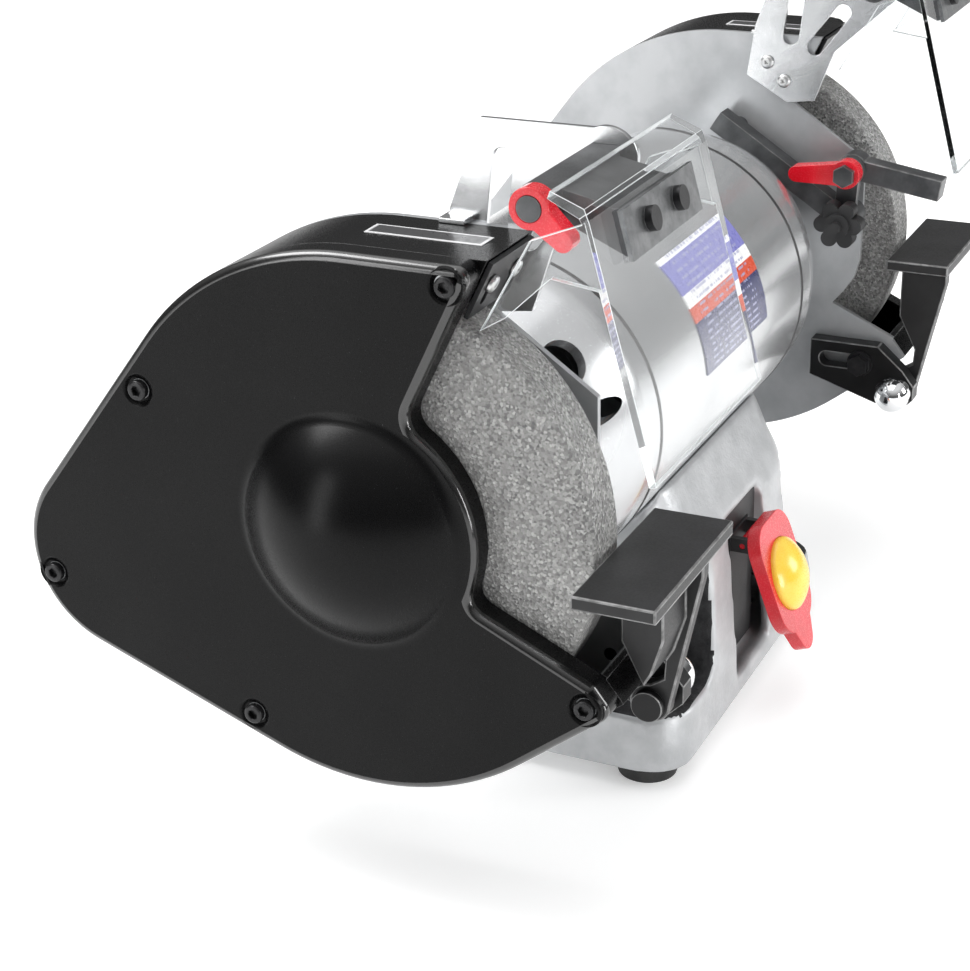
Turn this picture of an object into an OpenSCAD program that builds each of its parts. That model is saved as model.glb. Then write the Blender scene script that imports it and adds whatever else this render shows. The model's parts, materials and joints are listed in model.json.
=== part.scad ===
// Industrial bench grinder, two wheels, cast pedestal base.
// Origin: centre of the footprint on the bench. +X runs along the spindle to the
// operator's right, -Y faces the operator, +Z is up. Millimetres.

/* [Overall] */
// Distance between the mid planes of the two wheels
wheel_spacing = 455; // [430:1:540]
// Height of the spindle above the bench
spindle_h = 184; // [178:1:215]

/* [Wheels] */
// Diameter of a new wheel
wheel_d = 203.2; // [160:0.1:215]
// Width of a wheel
wheel_w = 25.4; // [20:0.1:30]
// Diameter of the spindle nose that the wheels sit on
nose_d = 15.88; // [12:0.01:19]
// Diameter of the clamping flanges
flange_d = 76; // [50:1:90]
// Thickness of each clamping flange
flange_t = 8; // [5:0.5:9]
// Thickness of a paper blotter
blotter_t = 0.8; // [0.5:0.1:1.5]

/* [Wheel guards] */
// Radius of the round part of the guard
guard_r = 119; // [112:0.5:140]
// Depth of the guard from its inner plate to the face of its cover
guard_depth = 58.5; // [52:0.5:70]
// Wall of the guard's band
band_t = 2.5; // [1.5:0.1:4]
// Thickness of the inner guard plate
plate_t = 3; // [2:0.1:5]
// Sheet thickness of the cover
cover_t = 1.6; // [1:0.1:2.5]
// Depth of the cover's flange
cover_flange = 12.6; // [6:0.1:12.6]
// Radius of the hub that the mouth of the guard leaves covered
hub_r = 56; // [52:0.5:60]
// Lower edge of the mouth, degrees below the front
mouth_low = 25; // [15:1:35]
// Upper edge of the mouth, degrees above the front
mouth_high = 64; // [55:1:70]
// Radius of the dome over the spindle nut
dome_r = 50; // [42:0.5:52]
// Height of the dome
dome_h = 25; // [22:0.5:30]
// Distance from the spindle back to the centre of the dust chute
chute_y = 117; // [105:1:130]
// Distance from the spindle down to the centre of the dust chute
chute_drop = 33.5; // [20:0.5:45]
// Outside radius of the dust chute end
chute_r = 47; // [40:0.5:52]
// Outside diameter of the dust hose spigot
spigot_d = 45; // [35:0.5:50]
// Wall of the spigot
spigot_wall = 2; // [1.5:0.1:3]
// Length of the spigot
spigot_len = 28; // [18:1:40]

/* [Motor] */
// Outside radius of the motor shell
motor_r = 79; // [74:0.5:82]
// Wall of the motor shell
shell_t = 4; // [2.5:0.1:6]
// Length of the motor shell
shell_len = 214; // [190:1:240]
// Radius of the end bell where the guard bolts on
bell_nose_r = 42; // [38:0.5:50]
// Diameter of each vent hole in the end bells
vent_d = 22; // [14:0.5:26]
// Length of the stator core
core_len = 90; // [70:1:110]
// Bore radius of the stator core
core_bore_r = 44; // [38:0.5:50]
// Air gap between rotor and stator
air_gap = 0.5; // [0.3:0.1:1]
// Outside diameter of each ball bearing
bearing_od = 47; // [40:0.5:52]
// Bore of each ball bearing
bearing_id = 20; // [17:0.5:25]
// Width of each ball bearing
bearing_w = 14; // [10:0.5:18]

/* [Base] */
// Length of the base along the spindle
base_len = 232; // [215:1:260]
// Depth of the base from front to back
base_dep = 188; // [180:1:220]
// Length of the column under the motor
column_len = 168; // [150:1:180]
// Wall of the casting
casting_t = 7; // [5:0.5:10]
// Height of the plinth at the bottom of the casting
plinth_h = 30; // [24:1:40]
// Diameter of each rubber foot
foot_d = 34; // [26:1:40]
// Height of each foot below the casting
foot_h = 9; // [6:0.5:14]
// Diameter of the bench bolt holes
bolt_d = 9; // [6:0.1:12]
// Bench bolt spacing along the spindle
bolt_x = 188; // [170:1:200]
// Bench bolt spacing from front to back
bolt_y = 140; // [130:1:150]

/* [Switch] */
// Width of the switch recess
recess_w = 54; // [50:1:64]
// Height of the switch recess
recess_h = 84; // [80:1:90]
// Height of the centre of the switch above the bench
switch_z = 64; // [62:1:70]
// Width of the paddle
paddle_w = 46; // [36:1:48]
// Height of the paddle
paddle_h = 66; // [50:1:70]
// Diameter of the paddle's round centre
button_d = 38; // [24:1:40]

/* [Tool rests] */
// Length of each table along the spindle
table_w = 90; // [70:1:100]
// Depth of each table from front to back
table_dep = 35; // [30:1:42]
// Thickness of each table
table_t = 6; // [4:0.5:8]
// Gap between the table and a new wheel
rest_gap = 3; // [2:0.5:5]
// How far a rest can be drawn out from the wheel
rest_travel = 20; // [10:1:20]

/* [Eye shields] */
// Width of each shield
shield_w = 120; // [100:1:124]
// Thickness of the clear sheet
shield_t = 3; // [2:0.5:4]
// Height of the hinge rod above the top of the guard
rod_up = 31; // [26:1:40]
// Distance of the hinge rod in front of the spindle
rod_y = 88; // [80:1:92]
// Side of the square hinge rod
rod_side = 12; // [10:0.5:13]

/* [Hidden] */
$fn = 64;

eps = 0.01;          // overlap of a cut past a face
gap = 0.3;           // clearance between pieces that move past each other
run_fit = 0.03;      // radial clearance of a running fit

// Stations along the spindle, counted outwards from the middle of the motor
wheel_mid = wheel_spacing / 2;
wheel_in = wheel_mid - wheel_w / 2;
wheel_out = wheel_mid + wheel_w / 2;
cover_face = wheel_out + cover_flange + 1.7;
plate_in = cover_face - guard_depth;
plate_out = plate_in + plate_t;
cover_back = cover_face - cover_flange;
shell_end = shell_len / 2;
wheel_r = wheel_d / 2;
bearing_in = plate_in - bearing_w - 6;

// ---------- placing helpers ----------

// Lifts a piece from the spindle line to its height above the bench
module on_spindle() { translate([0, 0, spindle_h]) children(); }

// Makes the left-hand copy of a piece that is drawn on the right
module left() { mirror([1, 0, 0]) children(); }

// A profile drawn in (front-back, up-down), made solid from station u over a length
module across(u, len) {
  translate([u, 0, 0]) rotate([90, 0, 90]) linear_extrude(len) children();
}

// A round bar along the spindle direction
module bar_x(u, len, r, y = 0, z = 0) {
  translate([u, y, z]) rotate([0, 90, 0]) cylinder(h = len, r = r);
}

// A tube along the spindle direction
module tube_x(u, len, r_out, r_in) {
  difference() {
    bar_x(u, len, r_out);
    bar_x(u - 1, len + 2, r_in);
  }
}

// A hexagonal bar along the spindle direction, af across its flats
module hex_x(u, len, af, y = 0, z = 0) {
  translate([u, y, z]) rotate([0, 90, 0]) cylinder(h = len, r = af / sqrt(3), $fn = 6);
}

// ---------- outline of the wheel guards ----------

over = 0.01;       // a straight stretch runs this far inside the arc it meets

// The four corners of the straight stretch between two circles' tangents
function tangent_quad(c1, r1, c2, r2) =
  let (d = norm(c2 - c1), dir = atan2(c2[1] - c1[1], c2[0] - c1[0]), b = acos((r1 - r2) / d))
  [c1 + (r1 - over) * [cos(dir + b), sin(dir + b)],
    c2 + (r2 - over) * [cos(dir + b), sin(dir + b)],
    c2 + (r2 - over) * [cos(dir - b), sin(dir - b)],
    c1 + (r1 - over) * [cos(dir - b), sin(dir - b)]];

lug_dir = 52;      // the lug's lower edge is square to this direction below the front
lug_len = 53;      // length of the lug past the round part
lug_w = 17;        // width of the lug at its end

function lug_n() = [-cos(lug_dir), -sin(lug_dir)];
function lug_t() = [-sin(lug_dir), cos(lug_dir)];

lug_low = lug_n() * guard_r + lug_t() * lug_len;               // lug end, lower corner
lug_high = lug_n() * (guard_r - lug_w) + lug_t() * lug_len;    // lug end, upper corner

chute_at = [chute_y, -chute_drop];

// Everything that the guard covers before its mouth is cut, g inside the outer face,
// as four overlapping shapes: two circles, the chute's sides, the lug and the flat top
module guard_shape(k, g) {
  r = guard_r - g - over;
  if (k == 0) circle(guard_r - g, $fn = 128);
  if (k == 1) translate(chute_at) circle(chute_r - g, $fn = 96);
  if (k == 2) polygon(tangent_quad([0, 0], guard_r - g, chute_at, chute_r - g));
  if (k == 3) polygon([[0, 0], lug_n() * r, lug_n() * r + lug_t() * (lug_len - g),
    lug_n() * (guard_r - lug_w) + lug_t() * (lug_len - g), lug_n() * 20 + lug_t() * 10]);
  if (k == 4) polygon([[0, 0], [0, r], [-r / tan(mouth_high) - 2, r]]);
}

module guard_area(g) { for (k = [0:4]) guard_shape(k, g); }

// The same as a block from station u over a length
module guard_block(u, len, g) { for (k = [0:4]) across(u, len) guard_shape(k, g); }

// The wedge that the mouth takes out, grown by g on both edges
module mouth_wedge(g, reach = 200) {
  half = (mouth_low + mouth_high) / 2;
  mid = (mouth_high - mouth_low) / 2;
  back = g / sin(half);
  translate(back * [cos(mid), -sin(mid)])
    polygon([[0, 0], reach * 2 * [-cos(mouth_low), -sin(mouth_low)], [-reach * 2, 0],
      reach * 2 * [-cos(mouth_high), sin(mouth_high)]]);
}

module mouth(g) {
  difference() {
    mouth_wedge(g);
    circle(hub_r - g, $fn = 96);
  }
}

module guard_outline(g) {
  difference() {
    guard_area(g);
    mouth(g);
  }
}

// Places of the five cover screws: top front, top rear, rear, bottom, lug
cover_screw_pts = [
  [-(guard_r - 10) / tan(mouth_high) + 8, guard_r - 8],
  (guard_r - 9) * [cos(26), sin(26)],
  chute_at + (chute_r - 9) * [cos(-20), sin(-20)],
  (guard_r - 9) * [cos(-61.2), sin(-61.2)],
  lug_n() * (guard_r - 8.5) + lug_t() * (lug_len - 8.5)];
post_r = 4.5;
screw_r = 2.4;

// ---------- base ----------

base_z = foot_h;

// One ring of a rounded rectangle: half sizes a and b, corner radius r, height z
function ring(a, b, r, z) = [for (q = [0:3]) for (i = [0:5])
  let (ang = q * 90 + i * 18,
       cx = (q == 0 || q == 3 ? 1 : -1) * (a - r),
       cy = (q < 2 ? 1 : -1) * (b - r))
  [cx + r * cos(ang), cy + r * sin(ang), z]];

// A closed skin over rings that all have the same number of points
module skin(rings) {
  n = len(rings[0]);
  m = len(rings);
  pts = [for (r = rings) each r];
  sides = [for (k = [0:m - 2]) for (i = [0:n - 1])
    each [[k * n + i, (k + 1) * n + (i + 1) % n, k * n + (i + 1) % n],
      [k * n + i, (k + 1) * n + i, (k + 1) * n + (i + 1) % n]]];
  bottom = [[for (i = [0:n - 1]) i]];
  top = [[for (i = [n - 1:-1:0]) (m - 1) * n + i]];
  polyhedron(pts, concat(sides, bottom, top));
}

column_top = spindle_h - 30;      // the saddle reaches this high on the motor
plinth_top = base_z + plinth_h;
function up(k) = plinth_top + k * (column_top - plinth_top);
// Outline of the casting at nine heights, c inside its outer face
function base_rings(c, z0, z1) = [
  ring(base_len / 2 - c, base_dep / 2 - c, 22, z0),
  ring(base_len / 2 - c, base_dep / 2 - c, 22, base_z + 14),
  ring(base_len / 2 - 3 - c, base_dep / 2 - 1 - c, 24, plinth_top),
  ring(column_len / 2 + 17 - c, base_dep / 2 - 3 - c, 26, up(0.16)),
  ring(column_len / 2 + 7 - c, base_dep / 2 - 5 - c, 26, up(0.39)),
  ring(column_len / 2 + 2 - c, base_dep / 2 - 8 - c, 26, up(0.56)),
  ring(column_len / 2 - c, base_dep / 2 - 18 - c, 24, up(0.72)),
  ring(column_len / 2 - c, base_dep / 2 - 27 - c, 22, up(0.88)),
  ring(column_len / 2 - c, base_dep / 2 - 31 - c, 22, z1)];

pocket_in = 58;                   // inner end of the front corner pockets
pocket_z0 = plinth_top;
pocket_z1 = up(0.6);
pocket_dep = 42;

// A rounded pocket that opens to the front and to the end of the base
module corner_pocket(c) {
  translate([pocket_in - c, -base_dep / 2 - 10, 0]) rotate([90, 0, 0]) mirror([0, 0, 1])
    linear_extrude(pocket_dep + 10 + c) union() {
      translate([16, pocket_z0 - c + 16]) square([80, pocket_z1 - pocket_z0 + 2 * c - 32]);
      translate([16, pocket_z0 - c]) square([80, pocket_z1 - pocket_z0 + 2 * c]);
      translate([0, pocket_z0 - c + 16]) square([80, pocket_z1 - pocket_z0 + 2 * c - 32]);
      translate([16, pocket_z0 - c + 16]) circle(16);
      translate([16, pocket_z1 + c - 16]) circle(16);
    }
}

module base_casting() color([0.72, 0.73, 0.73]) difference() {
  union() {
    difference() {
      skin(base_rings(0, base_z, column_top));
      skin(base_rings(casting_t, base_z + 10, column_top + 5));
      for (s = [0, 1]) mirror([s, 0, 0]) corner_pocket(0);
    }
    // walls behind the corner pockets
    intersection() {
      skin(base_rings(0, base_z, column_top));
      for (s = [0, 1]) mirror([s, 0, 0]) difference() {
        corner_pocket(5);
        corner_pocket(0);
      }
    }
    // ledge behind the switch recess
    difference() {
      translate([-recess_w / 2 - 6, switch_y + 3, switch_z - recess_h / 2 - 4])
        cube([recess_w + 12, 5, recess_h + 8]);
      translate([-recess_w / 2 + 4, switch_y, switch_z - recess_h / 2 + 4])
        cube([recess_w - 8, 12, recess_h - 8]);
    }
    // saddle that the motor rests in
    translate([-column_len / 2 + 1, -40, spindle_h - motor_r - 6])
      cube([column_len - 2, 80, 14]);
  }
  // bed of the motor
  on_spindle() bar_x(-base_len, 2 * base_len, motor_r);
  // opening underneath, closed by the bottom plate
  translate([-base_len / 2 + 42, -base_dep / 2 + 24, base_z - 1])
    cube([base_len - 84, base_dep - 48, 12]);
  translate([-base_len / 2 + 35, -base_dep / 2 + 18, base_z - 1])
    cube([base_len - 70, base_dep - 36, 3]);
  // bench bolt holes and seats of the feet
  for (x = [-1, 1]) for (y = [-1, 1]) translate([x * bolt_x / 2, y * bolt_y / 2, base_z]) {
    translate([0, 0, -1]) cylinder(h = 40, d = bolt_d);
    translate([0, 0, -1]) cylinder(h = 3, d = foot_d);
  }
  // switch recess through the front
  translate([-recess_w / 2, -base_dep, switch_z - recess_h / 2])
    cube([recess_w, base_dep + switch_y + 3, recess_h]);
  // hole for the cord gland at the back
  translate([0, base_dep, base_z + 26]) rotate([90, 0, 0]) cylinder(h = base_dep, d = 16);
  // screws up into the motor
  for (x = [-1, 1]) translate([x * 55, 0, spindle_h - motor_r - 20])
    cylinder(h = 30, r = 3.3);
  // screws of the bottom plate
  bottom_screw_places() translate([0, 0, base_z]) cylinder(h = 9, r = 2);
}

module bottom_screw_places() {
  for (x = [-1, 1]) for (y = [-1, 1])
    translate([x * (base_len / 2 - 39), y * (base_dep / 2 - 52), 0]) children();
}

module base_bottom_plate() color([0.55, 0.56, 0.57]) difference() {
  translate([-base_len / 2 + 36.2, -base_dep / 2 + 18.2, base_z + 0.5])
    cube([base_len - 72.4, base_dep - 36.4, 1.5]);
  bottom_screw_places() translate([0, 0, base_z - 1]) cylinder(h = 9, r = 2.3);
  // cooling slots
  for (i = [-3:3]) translate([i * 14 - 2, -30, base_z - 1]) cube([4, 60, 5]);
  for (x = [-1, 1]) for (y = [-1, 1])
    translate([x * bolt_x / 2, y * bolt_y / 2, base_z - 1]) cylinder(h = 6, d = foot_d + 1);
}

module bottom_plate_screws() color([0.3, 0.3, 0.3]) bottom_screw_places() {
  translate([0, 0, base_z - 2]) cylinder(h = 2.5, r = 3.6);
  translate([0, 0, base_z + 0.2]) cylinder(h = 8, r = 1.95);
}

module rubber_feet() color([0.09, 0.09, 0.09])
  for (x = [-1, 1]) for (y = [-1, 1]) translate([x * bolt_x / 2, y * bolt_y / 2, 0])
    difference() {
      union() {
        cylinder(h = foot_h - 2, r1 = foot_d / 2 - 2.5, r2 = foot_d / 2 - 0.2);
        translate([0, 0, foot_h - 2 - eps]) cylinder(h = 4 + eps, d = foot_d - 0.4);
      }
      translate([0, 0, -1]) cylinder(h = foot_h + 4, d = bolt_d);
    }

// ---------- switch ----------

front_y = -base_dep / 2;
switch_y = front_y + 12;          // front of the switch plate
hinge_z = switch_z + paddle_h / 2 - 8;
hinge_y = switch_y - 7;
pin_r = 1.5;

module switch_plate() color([0.07, 0.07, 0.07]) difference() {
  translate([-recess_w / 2 + 0.2, switch_y, switch_z - recess_h / 2 + 0.2])
    cube([recess_w - 0.4, 3, recess_h - 0.4]);
  translate([-15, switch_y - 1, switch_z - 26]) cube([30, 6, 56]);
}

module switch_body() color([0.12, 0.12, 0.12]) difference() {
  union() {
    translate([-14.8, switch_y - 1, switch_z - 25.8]) cube([29.6, 4.2, 55.6]);
    translate([-18, switch_y + 3, switch_z - 28]) cube([36, 26, 58]);
    // ears that hold the paddle's hinge pin
    for (s = [-1, 1]) translate([s * 12 - 1.8, hinge_y - 3.5, hinge_z - 3.5])
      cube([3.6, switch_y - hinge_y + 4, 7.5]);
  }
  translate([-20, hinge_y, hinge_z]) rotate([0, 90, 0]) cylinder(h = 40, r = pin_r + run_fit);
}

// Outline of the paddle: a rounded shield with a tongue below
module paddle_outline(g) {
  hull() {
    for (s = [-1, 1]) translate([s * (paddle_w / 2 - 14), paddle_h / 2 - 14])
      circle(14 - g, $fn = 32);
    for (s = [-1, 1]) translate([s * (paddle_w / 2 - 16), -paddle_h / 2 + 22])
      circle(16 - g, $fn = 32);
  }
  hull() {
    translate([0, -paddle_h / 2 + 16]) circle(15 - g, $fn = 32);
    translate([0, -paddle_h / 2 + 2]) circle(9 - g, $fn = 32);
  }
}

// Turns the paddle and its centre about the hinge, so that they hang out at the bottom
paddle_lean = 20;
module hung() {
  translate([0, hinge_y, hinge_z]) rotate([-paddle_lean, 0, 0])
    translate([0, -hinge_y, -hinge_z]) children();
}

module paddle() color([0.80, 0.05, 0.10]) hung() {
  translate([0, front_y - 1, switch_z]) rotate([90, 0, 0]) difference() {
    linear_extrude(7) paddle_outline(0);
    translate([0, 2, 4]) cylinder(h = 6, d = button_d + 0.2);
  }
  // lug behind the paddle, and the hinge pin through it
  translate([-9.5, front_y - 2, hinge_z - 2.5]) cube([19, hinge_y - front_y + 2, 5]);
  translate([-9.5, hinge_y, hinge_z]) rotate([0, 90, 0]) cylinder(h = 19, r = 3);
  translate([-13.6, hinge_y, hinge_z]) rotate([0, 90, 0]) cylinder(h = 27.2, r = pin_r);
}

module paddle_centre() color([0.96, 0.83, 0.32]) hung()
  translate([0, front_y - 5, switch_z + 2]) rotate([90, 0, 0]) intersection() {
    cylinder(h = 13, d = button_d);
    translate([0, 0, -13]) sphere(r = 26);
  }

module cord_gland() color([0.08, 0.08, 0.08]) translate([0, base_dep / 2, base_z + 26])
  rotate([-90, 0, 0]) difference() {
    union() {
      translate([0, 0, -9]) cylinder(h = 12, d = 15.6);
      translate([0, 0, 0.2]) cylinder(h = 4, d = 24, $fn = 6);
      translate([0, 0, 4.2 - eps]) cylinder(h = 12, r1 = 9, r2 = 6.5);
    }
    translate([0, 0, -12]) cylinder(h = 40, d = 8);
  }

module run_capacitor() color([0.85, 0.85, 0.82])
  translate([44, 20, base_z + 2]) {
    cylinder(h = 62, d = 42);
    for (s = [-1, 1]) translate([s * 8, 0, 62 - eps]) cylinder(h = 8, d = 5);
  }

// ---------- motor ----------

module motor_shell() color([0.74, 0.75, 0.75]) on_spindle() difference() {
  union() {
    tube_x(-shell_end, shell_len, motor_r, motor_r - shell_t);
    // rings that the end bells screw to
    both() tube_x(shell_end - 12, 12, motor_r - 1, bell_screw_r - 6);
  }
  both() for (a = bell_screw_angles) rotate([-a, 0, 0])
    bar_x(shell_end - 13, 14, 2.6, -bell_screw_r, 0);
  for (x = [-1, 1]) translate([x * 55, 0, -motor_r - 1]) cylinder(h = 20, r = 2.5);
}

// Half section of an end bell, from its seam to its nose
bell_len = plate_in - shell_end;
function bell_curve(r0, r1, x0, x1, n) = [for (i = [0:n])
  let (a = 90 * i / n)
  [x0 + (x1 - x0) * sin(a) * sin(a) * 0.4 + (x1 - x0) * 0.6 * i / n,
   r1 + (r0 - r1) * pow(cos(a), 0.9)]];

// Solid of revolution of the bell, c inside its outer face
module bell_solid(c) {
  pts = bell_curve(motor_r - c, bell_nose_r - c, 14, bell_len - 8, 10);
  end = (c > 0 ? bearing_in - 2 - shell_end : bell_len);
  rotate([0, 90, 0]) rotate_extrude() polygon(concat(
    [[0, -c], [motor_r - c, -c]],
    [for (p = pts) if (p[0] - 0.7 * c < end - 1) [p[1], p[0] - 0.7 * c]],
    [[bell_nose_r - c, end], [0, end]]));
}

vent_angles = [42, 132, 222, 318];
bell_screw_angles = [20, 110, 200, 290];
bell_screw_r = motor_r - 8;

module end_bell() color([0.78, 0.79, 0.79]) translate([shell_end, 0, 0]) difference() {
  bell_solid(0);
  difference() {
    bell_solid(5);
    for (a = bell_screw_angles) rotate([-a, 0, 0]) bar_x(-1, 60, 8, -bell_screw_r, 0);
  }
  // vents
  for (a = vent_angles) rotate([-a, 0, 0]) translate([24, 0, 0])
    rotate([90, 0, 0]) rotate([0, 18, 0]) cylinder(h = motor_r + 30, d = vent_d);
  // bearing seat and shaft hole
  bar_x(bearing_in - 5 - shell_end, bearing_w + 5, bearing_od / 2);
  bar_x(-1, bell_len + 2, bearing_od / 2 - 5);
  // pockets for the screws into the shell, and holes for the guard's screws
  for (a = bell_screw_angles) rotate([-a, 0, 0]) {
    bar_x(-6, 30, 2.6, -bell_screw_r, 0);
    bar_x(12, 70, 5.2, -bell_screw_r, 0);
  }
  for (a = [45:90:315]) rotate([-a, 0, 0]) bar_x(bell_len - 13, 15, 2.5, -33, 0);
}

module left_end_bell() on_spindle() left() end_bell();
module right_end_bell() on_spindle() end_bell();

module both() { for (s = [0, 1]) mirror([s, 0, 0]) children(); }

module end_bell_screws() color([0.15, 0.15, 0.15]) on_spindle() both()
  for (a = bell_screw_angles) rotate([-a, 0, 0]) {
    bar_x(shell_end - 10, 22 + eps, 2.5, -bell_screw_r, 0);
    bar_x(shell_end + 12, 5, 4.6, -bell_screw_r, 0);
  }

module stator_core() color([0.35, 0.36, 0.38]) on_spindle()
  tube_x(-core_len / 2, core_len, motor_r - shell_t, core_bore_r);

module stator_windings() color([0.72, 0.42, 0.20]) on_spindle() both()
  tube_x(core_len / 2, 24, motor_r - shell_t - 8, core_bore_r + 4);

plate_deg = 44;                   // how far the rating plate wraps round the shell
module rating_plate() color([0.30, 0.32, 0.55]) on_spindle() intersection() {
  tube_x(-46, 92, motor_r + 0.6, motor_r);
  rotate([-5, 0, 0]) across(-46, 92) polygon([[0, 0], [-120, 0],
    [-120 * cos(plate_deg / 2), 120 * sin(plate_deg / 2)],
    [-100 * cos(plate_deg), 100 * sin(plate_deg)]]);
}

module motor_mount_screws() color([0.2, 0.2, 0.2]) on_spindle() for (x = [-1, 1])
  translate([x * 55, 0, -motor_r]) {
    translate([0, 0, -12]) cylinder(h = 15.8, r = 2.45);
    translate([0, 0, -11]) cylinder(h = 5, r = 5);
  }

// ---------- rotor ----------

inner_flange_u = wheel_in - blotter_t - flange_t;
outer_flange_u = wheel_out + blotter_t;
nut_u = outer_flange_u + flange_t;
nut_t = 11;
nut_af = 24;

module rotor_shaft() color([0.70, 0.71, 0.73]) on_spindle() {
  bar_x(-bearing_in + gap, 2 * (bearing_in - gap), 12.5);
  both() {
    bar_x(bearing_in - gap - eps, inner_flange_u - bearing_in + gap, bearing_id / 2 - run_fit);
    bar_x(inner_flange_u - 1, nut_u + nut_t + 2 - inner_flange_u, nose_d / 2 - run_fit);
  }
}

module rotor_core() color([0.45, 0.46, 0.48]) on_spindle()
  tube_x(-core_len / 2 - 6, core_len + 12, core_bore_r - air_gap, 12.5);

module cooling_fan() color([0.12, 0.12, 0.12]) on_spindle() {
  tube_x(core_len / 2 + 26, 14, 20, 12.5);
  tube_x(core_len / 2 + 26, 2, 56, 19);
  for (a = [0:30:330]) rotate([a, 0, 0])
    translate([core_len / 2 + 28 - eps, 22, -1]) cube([12, 34, 2]);
}

module ball_bearings() color([0.68, 0.69, 0.71]) on_spindle() both()
  tube_x(bearing_in, bearing_w, bearing_od / 2, bearing_id / 2);

module wheel_flanges() color([0.55, 0.56, 0.58]) on_spindle() both()
  for (u = [inner_flange_u, outer_flange_u])
    tube_x(u, flange_t, flange_d / 2, nose_d / 2);

module wheel_blotters() color([0.62, 0.48, 0.34]) on_spindle() both()
  for (u = [wheel_in - blotter_t, wheel_out])
    tube_x(u, blotter_t, flange_d / 2 + 4, nose_d / 2 + 0.4);

module wheel() color([0.56, 0.56, 0.55])
  tube_x(wheel_in, wheel_w, wheel_r, nose_d / 2 + run_fit);
module left_wheel() on_spindle() left() wheel();
module right_wheel() on_spindle() wheel();

module arbor_nut() color([0.66, 0.67, 0.69]) difference() {
  hex_x(nut_u, nut_t, nut_af);
  bar_x(nut_u - 1, nut_t + 2, nose_d / 2);
}
module left_arbor_nut() on_spindle() left() arbor_nut();
module right_arbor_nut() on_spindle() arbor_nut();

// ---------- wheel guards ----------

// Ear of the inner plate that reaches forward beside the wheel
module plate_ear() {
  polygon([[-20, -60], [-44, -66], [-77, -26], [-83, -17], [-86, -6], [-86, 52], [-40, 84],
    [-20, 60]]);
}

rest_stud = lug_low + [23, -2.9];     // the bolt that the tool rest slides on
post_bolt_pts = [[-28, guard_r - 15], [-38, guard_r - 25]];

// A round bar along the dust spigot's axis, which leans back so that a hose passes the motor
spigot_lean = 14;
spigot_foot = 8;     // length of the thicker foot that the hose stops against
module spigot_bar(from, len, r) {
  translate([plate_in, chute_y, -chute_drop]) rotate([0, 0, -spigot_lean]) bar_x(from, len, r);
}

module guard_plate() color([0.66, 0.67, 0.67]) {
  difference() {
    union() {
      across(plate_in, plate_t) union() {
        guard_outline(0);
        plate_ear();
      }
      for (p = cover_screw_pts)
        bar_x(plate_out - eps, cover_face - cover_t - plate_out, post_r, p[0], p[1]);
      spigot_bar(-spigot_len, spigot_len - spigot_foot + eps, spigot_d / 2);
      intersection() {
        spigot_bar(-spigot_foot, spigot_foot + 20, spigot_d / 2 + 2.5);
        translate([0, 0, -200]) cube([plate_in + 1, 300, 400]);
      }
    }
    bar_x(plate_in - 1, plate_t + 2, 22);
    for (a = [45:90:315]) rotate([-a, 0, 0]) bar_x(plate_in - 1, plate_t + 2, 2.8, -33, 0);
    for (p = cover_screw_pts) bar_x(cover_face - 16, 20, screw_r + 0.1, p[0], p[1]);
    spigot_bar(-spigot_len - 1, spigot_len + plate_t + 12, spigot_d / 2 - spigot_wall);
    bar_x(plate_in - 1, plate_t + 2, 3, rest_stud[0], rest_stud[1]);
    for (q = post_bolt_pts) bar_x(plate_in - 1, plate_t + 2, 2.1, q[0], q[1]);
  }
}
module left_guard_plate() on_spindle() left() guard_plate();
module right_guard_plate() on_spindle() guard_plate();

lip_dir = [-cos(mouth_high), sin(mouth_high)];        // out along the mouth's upper edge
lip_nrm = [-sin(mouth_high), -cos(mouth_high)];       // square to it, into the mouth
lip_end = guard_r / sin(mouth_high);
lip_screw = guard_r + 1;          // distance of the deflector's screws from the spindle

// A flat strip along the mouth's upper edge, from radius a to b, faces f0 and f1 off it
module lip_strip(a, b, f0, f1) {
  polygon([lip_dir * a + lip_nrm * f0, lip_dir * b + lip_nrm * f0,
    lip_dir * b + lip_nrm * f1, lip_dir * a + lip_nrm * f1]);
}

// A round bar square to the lip
module lip_bar(u, f0, f1, r, d) {
  c = lip_dir * d + lip_nrm * f0;
  translate([u, c[0], c[1]]) rotate([180 - mouth_high, 0, 0]) cylinder(h = f1 - f0, r = r);
}

module guard_band() color([0.05, 0.05, 0.05]) difference() {
  guard_block(plate_out, cover_back - 0.2 - plate_out, 0);
  difference() {
    guard_block(plate_out - 1, cover_back - plate_out + 2, band_t);
    across(plate_out - 2, cover_back - plate_out + 4)
      lip_strip(lip_screw - 8, lip_end + 5, 0, -band_t);
  }
  across(plate_out - 1, cover_back - plate_out + 2) mouth_wedge(0);
  for (s = [-1, 1]) lip_bar(defl_u + s * 11, -band_t - 1, 1, 2.1, lip_screw);
}
module left_guard_band() on_spindle() left() guard_band();
module right_guard_band() on_spindle() guard_band();

dome_rs = (dome_r * dome_r + dome_h * dome_h) / (2 * dome_h);   // sphere of the dome

module cover() color([0.04, 0.04, 0.04]) difference() {
  union() {
    difference() {
      across(cover_back, cover_flange) guard_outline(0);
      across(cover_back - 1, cover_flange - cover_t + 1) guard_outline(cover_t);
      bar_x(cover_back, 2 * cover_flange, dome_r - cover_t);
    }
    translate([cover_face + dome_h - dome_rs, 0, 0]) rotate([0, 90, 0])
      rotate_extrude($fn = 128) intersection() {
        difference() {
          circle(dome_rs);
          circle(dome_rs - cover_t);
        }
        translate([0, dome_rs - dome_h - cover_t]) square([dome_r + 3, dome_h + 5]);
      }
  }
  for (p = cover_screw_pts) bar_x(cover_face - cover_t - 1, 6, screw_r + 0.3, p[0], p[1]);
}
module left_cover() on_spindle() left() cover();
module right_cover() on_spindle() cover();

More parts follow.
